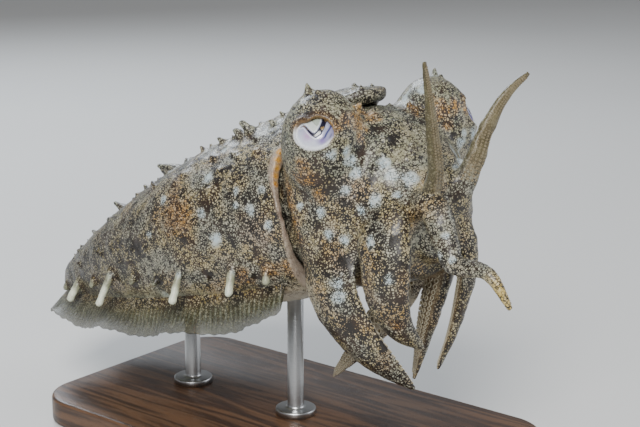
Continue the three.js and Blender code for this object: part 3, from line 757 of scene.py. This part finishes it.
class Paint:
    """What a skin carries at each corner: the pale cells' colour, the dark net's colour,
    the share of dark, and how strong the grain is."""

    def __init__(self, points):
        n = len(points)
        self.light = np.tile(CREAM, (n, 1))
        self.dark = np.tile(INK, (n, 1))
        self.cover = np.full(n, 0.5)
        self.grain = np.ones(n)

    def tint(self, share, light=None, dark=None, cover=0.0, grain=0.0):
        """Brings both colours nearer to new ones and adds to cover and grain, by a share."""
        if light is not None:
            self.light = blend(self.light, light, share)
        if dark is not None:
            self.dark = blend(self.dark, dark, share)
        self.cover += cover * share
        self.grain += grain * share

    def mottle(self, points):
        for size, seed, strength in [(9, 21, 0.12), (3.4, 33, 0.2), (1.5, 45, 0.1)]:
            self.cover += strength * waves(points, size, seed)
        self.tint(smoothstep(waves(points, 5, 57), -0.2, 0.3) * 0.8, GREY)
        self.tint(smoothstep(waves(points, 6, 69), 0.1, 0.5) * 0.4, GOLD)
        self.tint(smoothstep(waves(points, 4, 81), -0.1, 0.4) * 0.5, dark=UMBER)

    def mark(self, spotter, points, to_own, to_row):
        rose, gold, deep, pale = (
            spotter.weigh(points, spots, to_own, to_row, seed)
            for seed, spots in enumerate([PINK, OCHRE, DARK_AND_CREASE_SHADE, PALE], 1)
        )
        self.tint(rose * 0.55, ROSE)
        self.tint(gold * 0.85, GOLD)
        self.tint(gold * 0.6, dark=UMBER)
        # Dark blotches, and painted shade in the crease beside the near eye's bulge.
        self.tint(deep, cover=0.45)
        self.tint(pale, WHITE, cover=-0.26)
        self.tint(pale * 0.6, dark=srgb(70, 76, 74))

    def store(self, thing):
        set_values(thing, "light", self.light)
        set_values(thing, "dark", self.dark)
        set_values(thing, "cover", np.clip(self.cover, 0.02, 1))
        set_values(thing, "grain", np.clip(self.grain, 0, 1))


def paint_mantle(points, spotter):
    own = row_to_mantle(points)
    u = np.clip(own[:, 1] / TAIL_Y, 0, 1)
    tall = height_at(own[:, 2], u, MANTLE_TOP, MANTLE_BELLY)
    angle = np.arctan2(own[:, 2] / tall, own[:, 0] / along(MANTLE_WIDTH, u))
    degrees = np.degrees(np.arcsin(np.clip(np.sin(angle), -1, 1)))
    paint = Paint(points)
    paint.mottle(points)
    paint.mark(spotter, points, row_to_mantle, mantle_to_row)
    paint.tint(smoothstep(degrees, 35, 75) * 0.4, GREY)
    rear = smoothstep(u, 0.25, 0.8)
    paint.tint(rear * 0.65, OLIVE)
    paint.tint(rear, cover=0.1)
    paint.tint(smoothstep(-degrees, 38, 62), BELLY, cover=-0.42)
    outer = np.linalg.norm(own[:, [0, 2]] / np.stack([along(MANTLE_WIDTH, u), tall], -1), axis=1)
    raised = smoothstep(outer, 1.05, 1.18) * (u > 0.06)
    paint.tint(raised * 0.8, srgb(150, 154, 134), cover=-0.25)
    low = (1 - smoothstep(degrees, 4, 12)) * (u > 0.04)
    flap = smoothstep(outer, 1.04, 1.12) * low
    paint.tint(flap, srgb(150, 154, 128), cover=-0.25, grain=-0.6)
    paint.tint(smoothstep(outer, 1.14, 1.24) * low, srgb(222, 228, 206), cover=-0.3)
    edge = own[:, 1] - rim_y(angle)
    wide = 0.1 + 1.1 * np.exp(-((degrees - 36) / 17) ** 2)
    rim = 1 - smoothstep(edge, wide, wide + 0.5)
    inside = 1 - smoothstep(outer, 0.9, 0.95)
    pale = np.maximum(rim, inside) * (1 - smoothstep(degrees, 52, 64))
    paint.tint(pale, srgb(164, 150, 134), srgb(104, 84, 70), -0.15, -0.7)
    lens = spotter.weigh(points, LENS, row_to_mantle, mantle_to_row, 5, 0.3)
    paint.tint(lens, srgb(206, 150, 20), srgb(150, 84, 16), grain=0.4)
    return paint


def paint_head(points, spotter):
    own = row_to_head(points)
    paint = Paint(points)
    paint.mottle(points)
    number, share, distance, backward = on_arms(own)
    names = list(arms)
    along_arm = smoothstep(share, 0.34, 0.5) * (1 - smoothstep(distance, 1.15, 1.35))
    upper = smoothstep(own[:, 2], 4, 16)
    paint.tint(upper * 0.55, GREY)
    paint.tint(upper * 0.2, GREEN, cover=-0.3)
    paint.tint(1 - smoothstep(own[:, 2], -14, 2), cover=0.08)
    raised = np.isin(number, [names.index("arm_1_right"), names.index("arm_1_left")]) * along_arm
    paint.tint(raised, OLIVE, srgb(58, 50, 28), grain=-0.55)
    second = (number == names.index("arm_2_right")) * along_arm
    paint.tint(second * 0.7, GREY)
    paint.tint(second * smoothstep(share, 0.8, 0.9), srgb(184, 160, 84), cover=-0.25)
    paint.mark(spotter, points, row_to_head, head_to_row)
    oral = (1 - smoothstep(backward, -0.55, -0.2)) * along_arm * (1 - 0.8 * raised)
    paint.tint(oral, srgb(168, 150, 120), srgb(96, 76, 52), -0.15, -0.5)
    chin = (1 - smoothstep(own[:, 2], -16, -11)) * smoothstep(own[:, 1], -14, -6)
    paint.tint(chin * 0.8, BELLY, cover=-0.375)
    for sign in (-1, 1):
        middle, axes = eye_frame(sign)
        local = (own - middle) @ axes.T
        gap = opening_distance(local[:, 0], local[:, 1])
        near = (local[:, 2] > 2) * (np.linalg.norm(local, axis=1) < EYE_RADIUS + 2.2)
        rim = near * (1 - smoothstep(gap, 0.15, 0.5))
        low = smoothstep(0.9 - local[:, 1] - 0.5 * local[:, 0], -0.6, 1.6)
        paint.tint(rim * (1 - low), srgb(176, 152, 100), cover=-0.1, grain=-0.8)
        paint.tint(rim * low, srgb(222, 226, 232), cover=-0.5, grain=-0.8)
        ring = near * (gap > 0.6) * (1 - smoothstep(gap, 3.5, 5)) * smoothstep(local[:, 0], 0, 2.5)
        paint.tint(ring * np.sin(gap * 6.3), cover=0.12)
        shade = near * (1 - smoothstep(gap, 0.6, 2.0)) * smoothstep(local[:, 1], 0.6, 3)
        paint.tint(shade, dark=UMBER, cover=0.2)
        paint.tint(shade * 0.6, GOLD)
    return paint


# Materials

class Shade:
    """A material's nodes."""

    def __init__(self, name):
        self.material = bpy.data.materials.new(name)
        self.material.use_nodes = True
        self.tree = self.material.node_tree
        self.shader = self.tree.nodes["Principled BSDF"]

    def plug(self, socket, value):
        if isinstance(value, bpy.types.NodeSocket):
            self.tree.links.new(value, socket)
        elif isinstance(value, (tuple, list, np.ndarray)):
            values = [float(v) for v in value]
            socket.default_value = values + [1.0] if len(socket.default_value) > len(values) else values
        else:
            socket.default_value = value

    def node(self, kind, inputs=(), **settings):
        made = self.tree.nodes.new(kind)
        for name, value in settings.items():
            setattr(made, name, value)
        for name, value in dict(inputs).items():
            self.plug(made.inputs[name], value)
        return made

    def finish(self, **values):
        for name, value in values.items():
            self.plug(self.shader.inputs[name.replace("_", " ")], value)
        return self.material

    def math(self, operation, a, b=0.0, c=0.0, clamp=False):
        inputs = {0: a, 1: b, 2: c}
        return self.node("ShaderNodeMath", inputs, operation=operation, use_clamp=clamp).outputs[0]

    def mix(self, share, a, b):
        inputs = {0: share, 6: a, 7: b}
        return self.node("ShaderNodeMix", inputs, data_type="RGBA").outputs[2]

    def attribute(self, name, output="Fac"):
        return self.node("ShaderNodeAttribute", attribute_name=name).outputs[output]

    def vector(self, operation, a, b):
        return self.node("ShaderNodeVectorMath", {0: a, 1: b}, operation=operation).outputs[0]

    def millimetres(self, scale=(1, 1, 1)):
        place = self.node("ShaderNodeTexCoord").outputs["Object"]
        return self.vector("MULTIPLY", place, tuple(1000 * s for s in scale))

    def noise(self, place, scale, detail=2.0, rough=0.5):
        inputs = {"Vector": place, "Scale": scale, "Detail": detail, "Roughness": rough}
        return self.node("ShaderNodeTexNoise", inputs).outputs["Fac"]

    def ramp(self, value, low, high):
        inputs = {"Value": value, "From Min": low, "From Max": high}
        return self.node("ShaderNodeMapRange", inputs, interpolation_type="SMOOTHSTEP").outputs[0]

    def bump(self, height, distance, strength=1.0):
        inputs = {"Height": height, "Distance": distance, "Strength": strength}
        return self.node("ShaderNodeBump", inputs).outputs["Normal"]


def skin_material(name, see_through=False):
    """Wet skin of pale cells in a dark net, with pale specks, driven by the skin's paint."""
    s = Shade(name)
    place = s.millimetres()
    light = s.attribute("light", "Color")
    dark = s.attribute("dark", "Color")
    cover = s.attribute("cover")
    grain = s.attribute("grain")
    jitter = s.node("ShaderNodeTexNoise", {"Vector": place, "Scale": 1.7, "Detail": 1.0})
    shift = s.vector("MULTIPLY", jitter.outputs["Color"], (0.55, 0.55, 0.55))
    loose = s.vector("ADD", place, shift)
    cells = {"Vector": loose, "Scale": CELLS_PER_MM, "Randomness": 0.9}
    drawn = s.node("ShaderNodeTexVoronoi", cells).outputs["Color"]
    drawn = s.node("ShaderNodeSeparateColor", {"Color": drawn})
    inside = s.node("ShaderNodeTexVoronoi", cells, feature="DISTANCE_TO_EDGE").outputs["Distance"]
    chance = s.math("SUBTRACT", drawn.outputs["Red"], 0.5)
    reach = s.math("MULTIPLY_ADD", cover, 0.42, -0.07)
    reach = s.math("MULTIPLY_ADD", chance, 0.2, reach)
    cell = s.ramp(s.math("SUBTRACT", inside, reach), -0.04, 0.07)
    bright = s.mix(s.math("MULTIPLY", drawn.outputs["Green"], 0.45), light, (0.54, 0.5, 0.39))
    color = s.mix(cell, dark, bright)
    flat = s.mix(s.math("SUBTRACT", 1.0, cover, clamp=True), dark, light)
    color = s.mix(grain, flat, color)
    fine = s.noise(place, 3.5, 3, 0.6)
    height = s.math("MULTIPLY_ADD", cell, 0.55, s.math("MULTIPLY", fine, 0.7))
    rough = s.math("MULTIPLY_ADD", fine, 0.3, 0.28)
    values = {
        "Base_Color": color,
        "Roughness": rough,
        "Normal": s.bump(height, 0.00016, 0.8),
        "Subsurface_Weight": 0.08,
        "Subsurface_Radius": (0.9, 0.6, 0.4),
        "Subsurface_Scale": 0.0012,
        "Coat_Weight": 0.25,
        "Coat_Roughness": 0.25,
    }
    if see_through:
        values["Alpha"] = s.attribute("solid")
    return s.finish(**values)


def painted_material(name, roughness, coat=0.0, bump=0.0):
    """A surface whose colour its corners carry, with a fine uneven gloss."""
    s = Shade(name)
    place = s.millimetres()
    fine = s.noise(place, 2.2, 3)
    color = s.mix(s.math("MULTIPLY", fine, 0.25), s.attribute("paint", "Color"), (0.02, 0.02, 0.02))
    return s.finish(
        Base_Color=color,
        Roughness=s.math("MULTIPLY_ADD", fine, 0.12, roughness - 0.06),
        Coat_Weight=coat,
        Coat_Roughness=0.04,
        Normal=s.bump(s.noise(place, 4), 0.00008, bump),
    )


def wood_material():
    s = Shade("walnut")
    place = s.millimetres((1, 0.07, 1))
    warp = s.noise(place, 0.11, 3, 0.55)
    rings = s.math("SINE", s.math("MULTIPLY", warp, 60.0))
    fibre = s.noise(s.millimetres((1, 0.03, 1)), 2.6, 4, 0.7)
    tone = s.math("MULTIPLY_ADD", rings, 0.18, s.math("MULTIPLY", fibre, 0.9))
    color = s.mix(s.ramp(tone, 0.15, 0.75), (0.028, 0.013, 0.007), (0.13, 0.066, 0.032))
    pores = s.ramp(s.noise(s.millimetres((1, 0.05, 1)), 7.0, 2, 0.6), 0.58, 0.7)
    color = s.mix(s.math("MULTIPLY", pores, 0.5), color, (0.012, 0.006, 0.004))
    return s.finish(
        Base_Color=color,
        Roughness=s.math("MULTIPLY_ADD", fibre, 0.2, 0.3),
        Coat_Weight=0.15,
        Coat_Roughness=0.3,
        Normal=s.bump(s.math("SUBTRACT", fibre, pores), 0.00008, 0.6),
    )


def steel_material():
    s = Shade("brushed_steel")
    brushed = s.noise(s.millimetres((0.6, 0.6, 14)), 1.0, 3, 0.6)
    return s.finish(
        Base_Color=s.mix(brushed, (0.42, 0.43, 0.44), (0.62, 0.63, 0.64)),
        Metallic=1.0,
        Roughness=s.math("MULTIPLY_ADD", brushed, 0.25, 0.2),
        Normal=s.bump(brushed, 0.00003, 0.5),
    )


# Fins

def fin_surface(sign, steps=420, across=24):
    """A thin rippled membrane along one side of the mantle, with fine rays raised in it: its two
    faces, the shares along and across it, and where its rays lie."""
    s, w = np.meshgrid(np.linspace(0, 1, steps + 1), np.linspace(0, 1, across + 1), indexing="ij")
    u = 0.035 + 0.95 * s
    angle = np.radians(np.where(sign > 0, fin_degrees(u), 180 - fin_degrees(u)))
    out = unit(np.stack([sign * (0.4 + 0.5 * s), 0.45 * s * s, 0.4 * s - 0.9], -1))
    over = unit(np.stack([-sign * out[..., 2], 0 * s, np.abs(out[..., 0])], -1))
    wide = FIN["width"] * (0.75 + 0.25 * np.sin(math.pi * np.minimum(s * 2.2, 0.5)))
    wide = (wide * (1 - 0.3 * s**4) + 0.6) * smoothstep(s, -0.04, 0.02) ** 0.5
    ragged = 0.12 * np.sin(s * 211) + 0.1 * np.sin(s * 97 + 1)
    reach = wide * w + ragged * w**6
    wave = FIN["ripple"] * w * w * np.sin(s * math.pi * 7 + 0.8) + 0.25 * w * w * np.sin(s * math.pi * 23)
    ray = np.clip(np.sin(s * math.pi * 2 * FIN["rays"]), 0, 1) ** 2
    ray = ray * np.sin(math.pi * np.minimum(1, w * 1.02))
    half = (FIN["root"] + (FIN["edge"] - FIN["root"]) * w ** 0.6) / 2 + 0.07 * ray
    middle = mantle_point(u, angle, -0.6) + out * reach[..., None] + over * wave[..., None]
    faces = [middle + over * half[..., None], middle - over * half[..., None]]
    return faces, s, w, ray


def fin(sign, name):
    (top, bottom), s, w, ray = fin_surface(sign)
    points = mantle_to_row(np.vstack([top.reshape(-1, 3), bottom.reshape(-1, 3)]))
    n = s.size
    grid = np.arange(n).reshape(s.shape)
    sheet = net(*s.shape, closed=False)
    edge = np.concatenate([grid[0], grid[1:, -1], grid[-1, -2::-1], grid[-2:0:-1, 0]])
    ahead = np.roll(edge, -1)
    side = np.stack([ahead, edge, edge + n, ahead + n], -1)
    quads = np.vstack([sheet, sheet[:, ::-1] + n, side])
    thing = to_mesh(name, points, quads[:, ::-1] if sign < 0 else quads)
    paint = Paint(points)
    paint.mottle(points)
    w2 = np.tile(w.ravel(), 2)
    ray2 = np.tile(ray.ravel(), 2)
    outer = smoothstep(w2, 0.12, 0.6)
    paint.tint(0.8 * (1 - outer), srgb(108, 90, 26))
    paint.tint(outer, srgb(82, 82, 46), srgb(42, 38, 18), grain=-0.5)
    paint.tint(ray2 * outer * 0.7, srgb(122, 132, 118))
    paint.cover += 0.08 - 0.2 * ray2 * outer
    paint.store(thing)
    solid = 1 - 0.45 * smoothstep(w2, 0.2, 1.0) + 0.25 * ray2 * outer
    set_values(thing, "solid", np.clip(solid, 0, 1))
    return thing


# Eyes

# The pupil's band on the eye's cap: places towards the arms and up, and half-widths.
PUPIL_LINE = [
    [-3.2, 2.3, 0.1], [-2.7, 2.6, 0.14], [-2.1, 2.2, 0.16], [-1.4, 1.45, 0.2], [-0.7, 0.85, 0.26],
    [0, 0.6, 0.4], [0.65, 1.2, 0.48], [1.1, 2.3, 0.48], [1.3, 3.4, 0.46], [1.3, 4.6, 0.46],
]


def line_distance(a, b, line):
    """The distance to a band round a line of places with half-widths."""
    best = np.full(a.shape, 9.0)
    for (x0, y0, r0), (x1, y1, r1) in zip(line[:-1], line[1:]):
        dx, dy = x1 - x0, y1 - y0
        t = np.clip(((a - x0) * dx + (b - y0) * dy) / (dx * dx + dy * dy), 0, 1)
        away = np.hypot(a - x0 - t * dx, b - y0 - t * dy) - (r0 + (r1 - r0) * t)
        best = np.minimum(best, away)
    return best


def patch(a, b, x, y, size):
    return np.exp(-(np.hypot(a - x, b - y) / size) ** 2)


def eyeball(sign, name):
    polar = np.concatenate([np.linspace(0, 50, 90), np.linspace(50, 180, 26)[1:]])
    ring, turn = np.meshgrid(np.radians(polar[1:-1]), np.arange(220) * 2 * math.pi / 220, indexing="ij")
    local = np.stack([np.sin(ring) * np.cos(turn), np.sin(ring) * np.sin(turn), np.cos(ring)], -1)
    local = np.vstack([[[0, 0, 1]], local.reshape(-1, 3), [[0, 0, -1]]])
    a = local[:, 0] * EYE_RADIUS
    b = local[:, 1] * EYE_RADIUS
    band = line_distance(a, b, PUPIL_LINE)
    lobe = line_distance(a, b, [[x + 0.35, y + 1.0, r * 0.4] for x, y, r in PUPIL_LINE[:7]])
    flap = (1 - smoothstep(lobe, 0.5, 0.75)) * smoothstep(band, 0.02, 0.15)
    rim = opening_distance(a, b)
    stripe = 0.5 + 0.5 * np.cos((band - 0.95) * 6.6 + 0.8 * np.sin(b * 1.3))
    beyond = (a + 0.25 * b > 0.9) * (1 - smoothstep(a, 2.7, 3.2)) * smoothstep(b, -0.6, 0.6)
    above = (b > 0.4) * (a < 1.1)
    glow = np.exp(-((band - 0.24) / 0.1) ** 2)
    white = smoothstep(rim, -0.7, -0.2) * smoothstep(1.6 - b - 0.5 * a, -1.0, 0.8)
    color = np.tile(srgb(176, 180, 208), (len(a), 1))
    for tone, share in [
        ((214, 220, 236), smoothstep(1.2 - b - 0.35 * a, 0.2, 2.6)),
        ((140, 136, 176), smoothstep(a, 1.6, 3.2) * 0.8),
        ((192, 158, 204), patch(a, b, -1.5, 0.5, 1.0) * 0.9),
        ((128, 92, 176), patch(a, b, 1.3, -0.3, 0.9) * 0.8),
        ((48, 54, 112), stripe**2 * beyond * smoothstep(band, 0.3, 0.5)),
        ((172, 184, 172), above * smoothstep(band, 0.1, 0.3) * (b > 1.0 - 0.5 * a)),
        ((212, 220, 216), flap * above),
        ((236, 240, 246), glow * (a < 1.2) * 0.9),
        ((16, 18, 44), 1 - smoothstep(band, -0.08, 0.08)),
        ((236, 240, 248), white),
    ]:
        color = blend(color, srgb(*tone), share)
    relief = 0.12 * flap - 0.16 * (1 - smoothstep(band, -0.2, 0.12)) * (a < 3)
    middle, axes = eye_frame(sign)
    local = local * (EYE_RADIUS + relief * smoothstep(local[:, 2], 0.7, 0.8))[:, None]
    points = middle + local @ axes
    rings, sides = ring.shape
    quads = net(rings, sides, 1)[:, [0, 3, 2, 1]]
    rear = fan(sides, 1 + (rings - 1) * sides, len(points) - 1, -1)
    triangles = np.vstack([halves(quads), fan(sides, 1, 0, 1), rear])
    if np.linalg.det(axes) < 0:
        triangles = triangles[:, ::-1]
    thing = to_mesh(name, head_to_row(points), triangles)
    set_values(thing, "paint", color)
    return thing


# Suckers, beak and stand

def lathe(profile, sides):
    """Rings of a turned form, from [radius, height] pairs, as corners and quads."""
    turn = np.arange(sides) * 2 * math.pi / sides
    points = np.array([[r * np.cos(turn), r * np.sin(turn), h + 0 * turn] for r, h in profile])
    points = points.transpose(0, 2, 1).reshape(-1, 3)
    return points, net(len(profile), sides)


def suckers():
    """Four rows of stalked cups along the mouth side of each arm, smaller towards its tip."""
    cup = [[0.02, -0.6], [0.62, -0.6], [0.5, 0.15], [0.72, 0.45], [1, 0.72], [1.02, 0.92],
           [0.88, 1.02], [0.66, 0.92], [0.5, 0.6], [0.02, 0.42]]
    shape, faces = lathe(cup, 12)
    tone = np.repeat([0, 0, 0.1, 0.3, 0.5, 1, 1, 0.5, 0.1, 0], 12)
    points, quads, paint = [], [], []
    for name, arm in arms.items():
        first = name.startswith("arm_1")
        for row in (-0.62, -0.22, 0.22, 0.62):
            inner = abs(row) < 0.4
            t = SUCKERS["from"] + SUCKERS["stagger"] * inner
            while t < SUCKERS["to"]:
                middle, side, back, half = (v[0] for v in arm.frame([t]))
                radius = float(np.clip(half * SUCKERS["share"], SUCKERS["least"], SUCKERS["most"]))
                radius = radius * (1.0 if inner else 0.85) * (0.7 if first else 1)
                angle = -math.acos(row)
                deep = half * float(arm.thickness(np.float64(angle))) * math.sin(-angle)
                out = unit(-back * math.sin(-angle) + side * row * 0.5)
                root = middle + side * row * half - back * (deep - 0.1)
                over = unit(np.cross(out, side))
                axes = np.stack([np.cross(over, out), over, out])
                quads.append(faces + len(points) * len(shape))
                points.append(root + shape * radius @ axes)
                paint.append(tone * (0.25 if first else 1))
                t += radius * (3 if first else 2.15) / arm.length
    points = np.vstack(points)
    thing = to_mesh("suckers", head_to_row(points), np.vstack(quads))
    tone = np.concatenate(paint)
    color = blend(np.tile(srgb(122, 106, 72), (len(tone), 1)), srgb(222, 214, 190), tone)
    set_values(thing, "paint", color)
    return thing


def beak():
    """The beak: an upper and a lower horny hook, the lower one outside the upper."""
    x, y, z = BEAK["place"]
    points, quads, tones = [], [], []
    count = 0
    for grow, turn, reach in [(0.8, 1, 1.0), (1.0, -1, 0.86)]:
        def place(u, angle, grow=grow, turn=turn, reach=reach):
            radius = BEAK["radius"] * grow * (1 - 0.88 * u**1.7)
            bend = turn * (0.5 - 1.5 * u * u)
            flat = np.where(np.sin(angle) * turn > 0, 1, 0.55)
            return np.stack([
                x + radius * 0.85 * np.cos(angle),
                y + 3 - BEAK["length"] * reach * u,
                z + radius * flat * np.sin(angle) + bend * 0.7,
            ], -1)
        p, q = tube(place, 24, 28)
        points.append(p)
        quads.append(q + count)
        count += len(p)
        tones.append(smoothstep(p[:, 1], y - 2.4, y + 1.5))
    thing = to_mesh("beak_horn", head_to_row(np.vstack(points)), np.vstack(quads))
    color = blend(np.tile(srgb(30, 20, 15), (count, 1)), srgb(120, 78, 44), np.concatenate(tones))
    set_values(thing, "paint", color)
    return thing


def base_plate():
    """The stand's rounded plate with a soft bevel."""
    corner, bevel = BASE["corner"], BASE["bevel"]
    bend = np.linspace(0, math.pi / 2, 7)
    levels = [(bevel * (1 - math.sin(b)), bevel * (1 - math.cos(b))) for b in bend]
    levels += [(bevel * (1 - math.cos(b)), BASE["height"] - bevel * (1 - math.sin(b))) for b in bend]
    rings = []
    for inset, height in levels:
        ring = []
        for k, (sx, sy) in enumerate([(1, -1), (1, 1), (-1, 1), (-1, -1)]):
            turn = np.radians(np.linspace(-90, 0, 14) + 90 * k)
            x = sx * (BASE["width"] / 2 - corner) + (corner - inset) * np.cos(turn)
            y = sy * (BASE["length"] / 2 - corner) + (corner - inset) * np.sin(turn)
            ring.append(np.stack([x, y, 0 * turn + height], -1))
        rings.append(np.vstack(ring))
    count = len(rings[0])
    points = np.vstack(rings)
    ends = [[0, 0, 0], [0, 0, BASE["height"]]]
    low = fan(count, 0, len(points), -1)
    high = fan(count, (len(rings) - 1) * count, len(points) + 1, 1)
    triangles = np.vstack([halves(net(len(rings), count)), low, high])
    return to_mesh("stand_plate", np.vstack([points, ends]), triangles)


def stand_rod(place, name):
    """A rod on a round foot, from the plate into the belly."""
    depth = -along(MANTLE_BELLY, (place - 9) / (TAIL_Y - 9))
    spot = turned(np.array([0, place, float(depth)]), 0, MANTLE_PITCH)
    top = spot[2] + LIFT + 1.2
    foot, rise, radius = ROD["foot"], ROD["foot_height"], ROD["radius"]
    floor = BASE["height"] + 0.02
    ledge = floor + rise
    edge, fillet, bevel = ROD["edge"], ROD["fillet"], ROD["bevel"]
    profile = [[0.01, floor], [foot, floor], [foot, ledge - edge - 0.05]]
    for b in np.linspace(0.1, math.pi / 2, 5):
        profile.append([foot - edge + edge * math.cos(b), ledge - edge + edge * math.sin(b)])
    for b in np.linspace(0.05, math.pi / 2, 6):
        profile.append([radius + fillet - fillet * math.sin(b), ledge + fillet - fillet * math.cos(b)])
    profile += [[radius, top - bevel], [radius - bevel, top], [0.01, top]]
    points, quads = lathe(profile, 48)
    return to_mesh(name, points + [0, spot[1] + SHIFT_Y, 0], quads)


# All pieces

def dress(thing, material, slot, *nodes):
    thing.data.materials.append(material)
    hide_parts(*nodes)


def build():
    mantle, mantle_quads = largest(*mantle_field().mesh())
    mantle = mantle_to_row(roughen(mantle, mantle_quads, 1))
    head, head_quads = largest(*head_field().mesh())
    slim = 1 - 0.8 * smoothstep(on_arms(head)[1], 0.6, 0.95)
    head = head_to_row(roughen(head, head_quads, slim))
    spotter = Spotter([(mantle, mantle_quads), (head, head_quads)])
    skin = skin_material("skin")
    mantle_skin = to_mesh("mantle_skin", mantle, mantle_quads)
    paint_mantle(mantle, spotter).store(mantle_skin)
    dress(mantle_skin, skin, "mantle_skin", "mantle")
    head_skin = to_mesh("head_skin", head, head_quads)
    paint_head(head, spotter).store(head_skin)
    lengths = [f"{arm}_{length}" for arm in arms for length in LENGTH_NAMES]
    dress(head_skin, skin, "head_skin", "head", "funnel", *lengths)
    membrane = skin_material("fin_membrane", see_through=True)
    eye = painted_material("eye", 0.2, coat=0.5)
    for sign, side in ((-1, "right"), (1, "left")):
        dress(fin(sign, f"fin_skin_{side}"), membrane, "fin_membrane", f"fin_{side}")
        dress(eyeball(sign, f"eyeball_{side}"), eye, "eye", f"eye_{side}")
    dress(suckers(), painted_material("sucker", 0.4, bump=0.5), "arm_skin", *lengths)
    dress(beak(), painted_material("horn", 0.25, coat=0.4), "horn", "beak")
    dress(base_plate(), wood_material(), "stand_wood", "stand_base")
    steel = steel_material()
    dress(stand_rod(ROD_PLACES[0], "rod_front"), steel, "stand_metal", "stand_rod_front")
    dress(stand_rod(ROD_PLACES[1], "rod_back"), steel, "stand_metal", "stand_rod_back")


# Camera, light and floor, in metres

FLOOR_REACH = 3


def camera():
    data = bpy.data.cameras.new("camera")
    data.lens = VIEW["lens"]
    data.sensor_width = VIEW["sensor"]
    data.clip_start = 0.01
    data.clip_end = 20
    eye = add_object("camera", data)
    eye.matrix_world = Matrix(np.array(view_axes()).T.tolist()).to_4x4()
    eye.location = [v / 1000 for v in VIEW["place"]]
    bpy.context.scene.camera = eye


def area_light(name, place, target, size, power, color):
    data = bpy.data.lights.new(name, "AREA")
    data.shape = "DISK"
    data.size = size
    data.energy = power
    data.color = color
    lamp = add_object(name, data)
    lamp.location = place
    way = Vector(target) - Vector(place)
    lamp.rotation_euler = way.to_track_quat("-Z", "Y").to_euler()


def studio():
    camera()
    area_light("key", (-0.45, -0.25, 0.5), (0, 0, 0.05), 0.3, 6.0, (1, 0.98, 0.95))
    area_light("fill", (0.5, -0.5, 0.35), (0, 0, 0.05), 0.5, 1.7, (0.93, 0.96, 1))
    area_light("rim", (0.25, 0.5, 0.45), (0, 0, 0.06), 0.3, 3.5, (0.85, 0.92, 1))
    world = bpy.data.worlds.new("world")
    bpy.context.scene.world = world
    world.use_nodes = True
    sky = world.node_tree.nodes["Background"].inputs
    sky["Color"].default_value = (0.8, 0.82, 0.85, 1)
    sky["Strength"].default_value = 0.34
    corners = [(x * FLOOR_REACH, y * FLOOR_REACH, 0) for x, y in ((-1, -1), (1, -1), (1, 1), (-1, 1))]
    mesh = bpy.data.meshes.new("floor")
    mesh.from_pydata(corners, [], [(0, 1, 2, 3)])
    floor = add_object("floor", mesh)
    pale = Shade("floor")
    tone = pale.noise(pale.millimetres(), 0.004, 2)
    color = pale.mix(tone, (0.62, 0.62, 0.61), (0.7, 0.7, 0.69))
    mesh.materials.append(pale.finish(Base_Color=color, Roughness=0.65))


build()
studio()
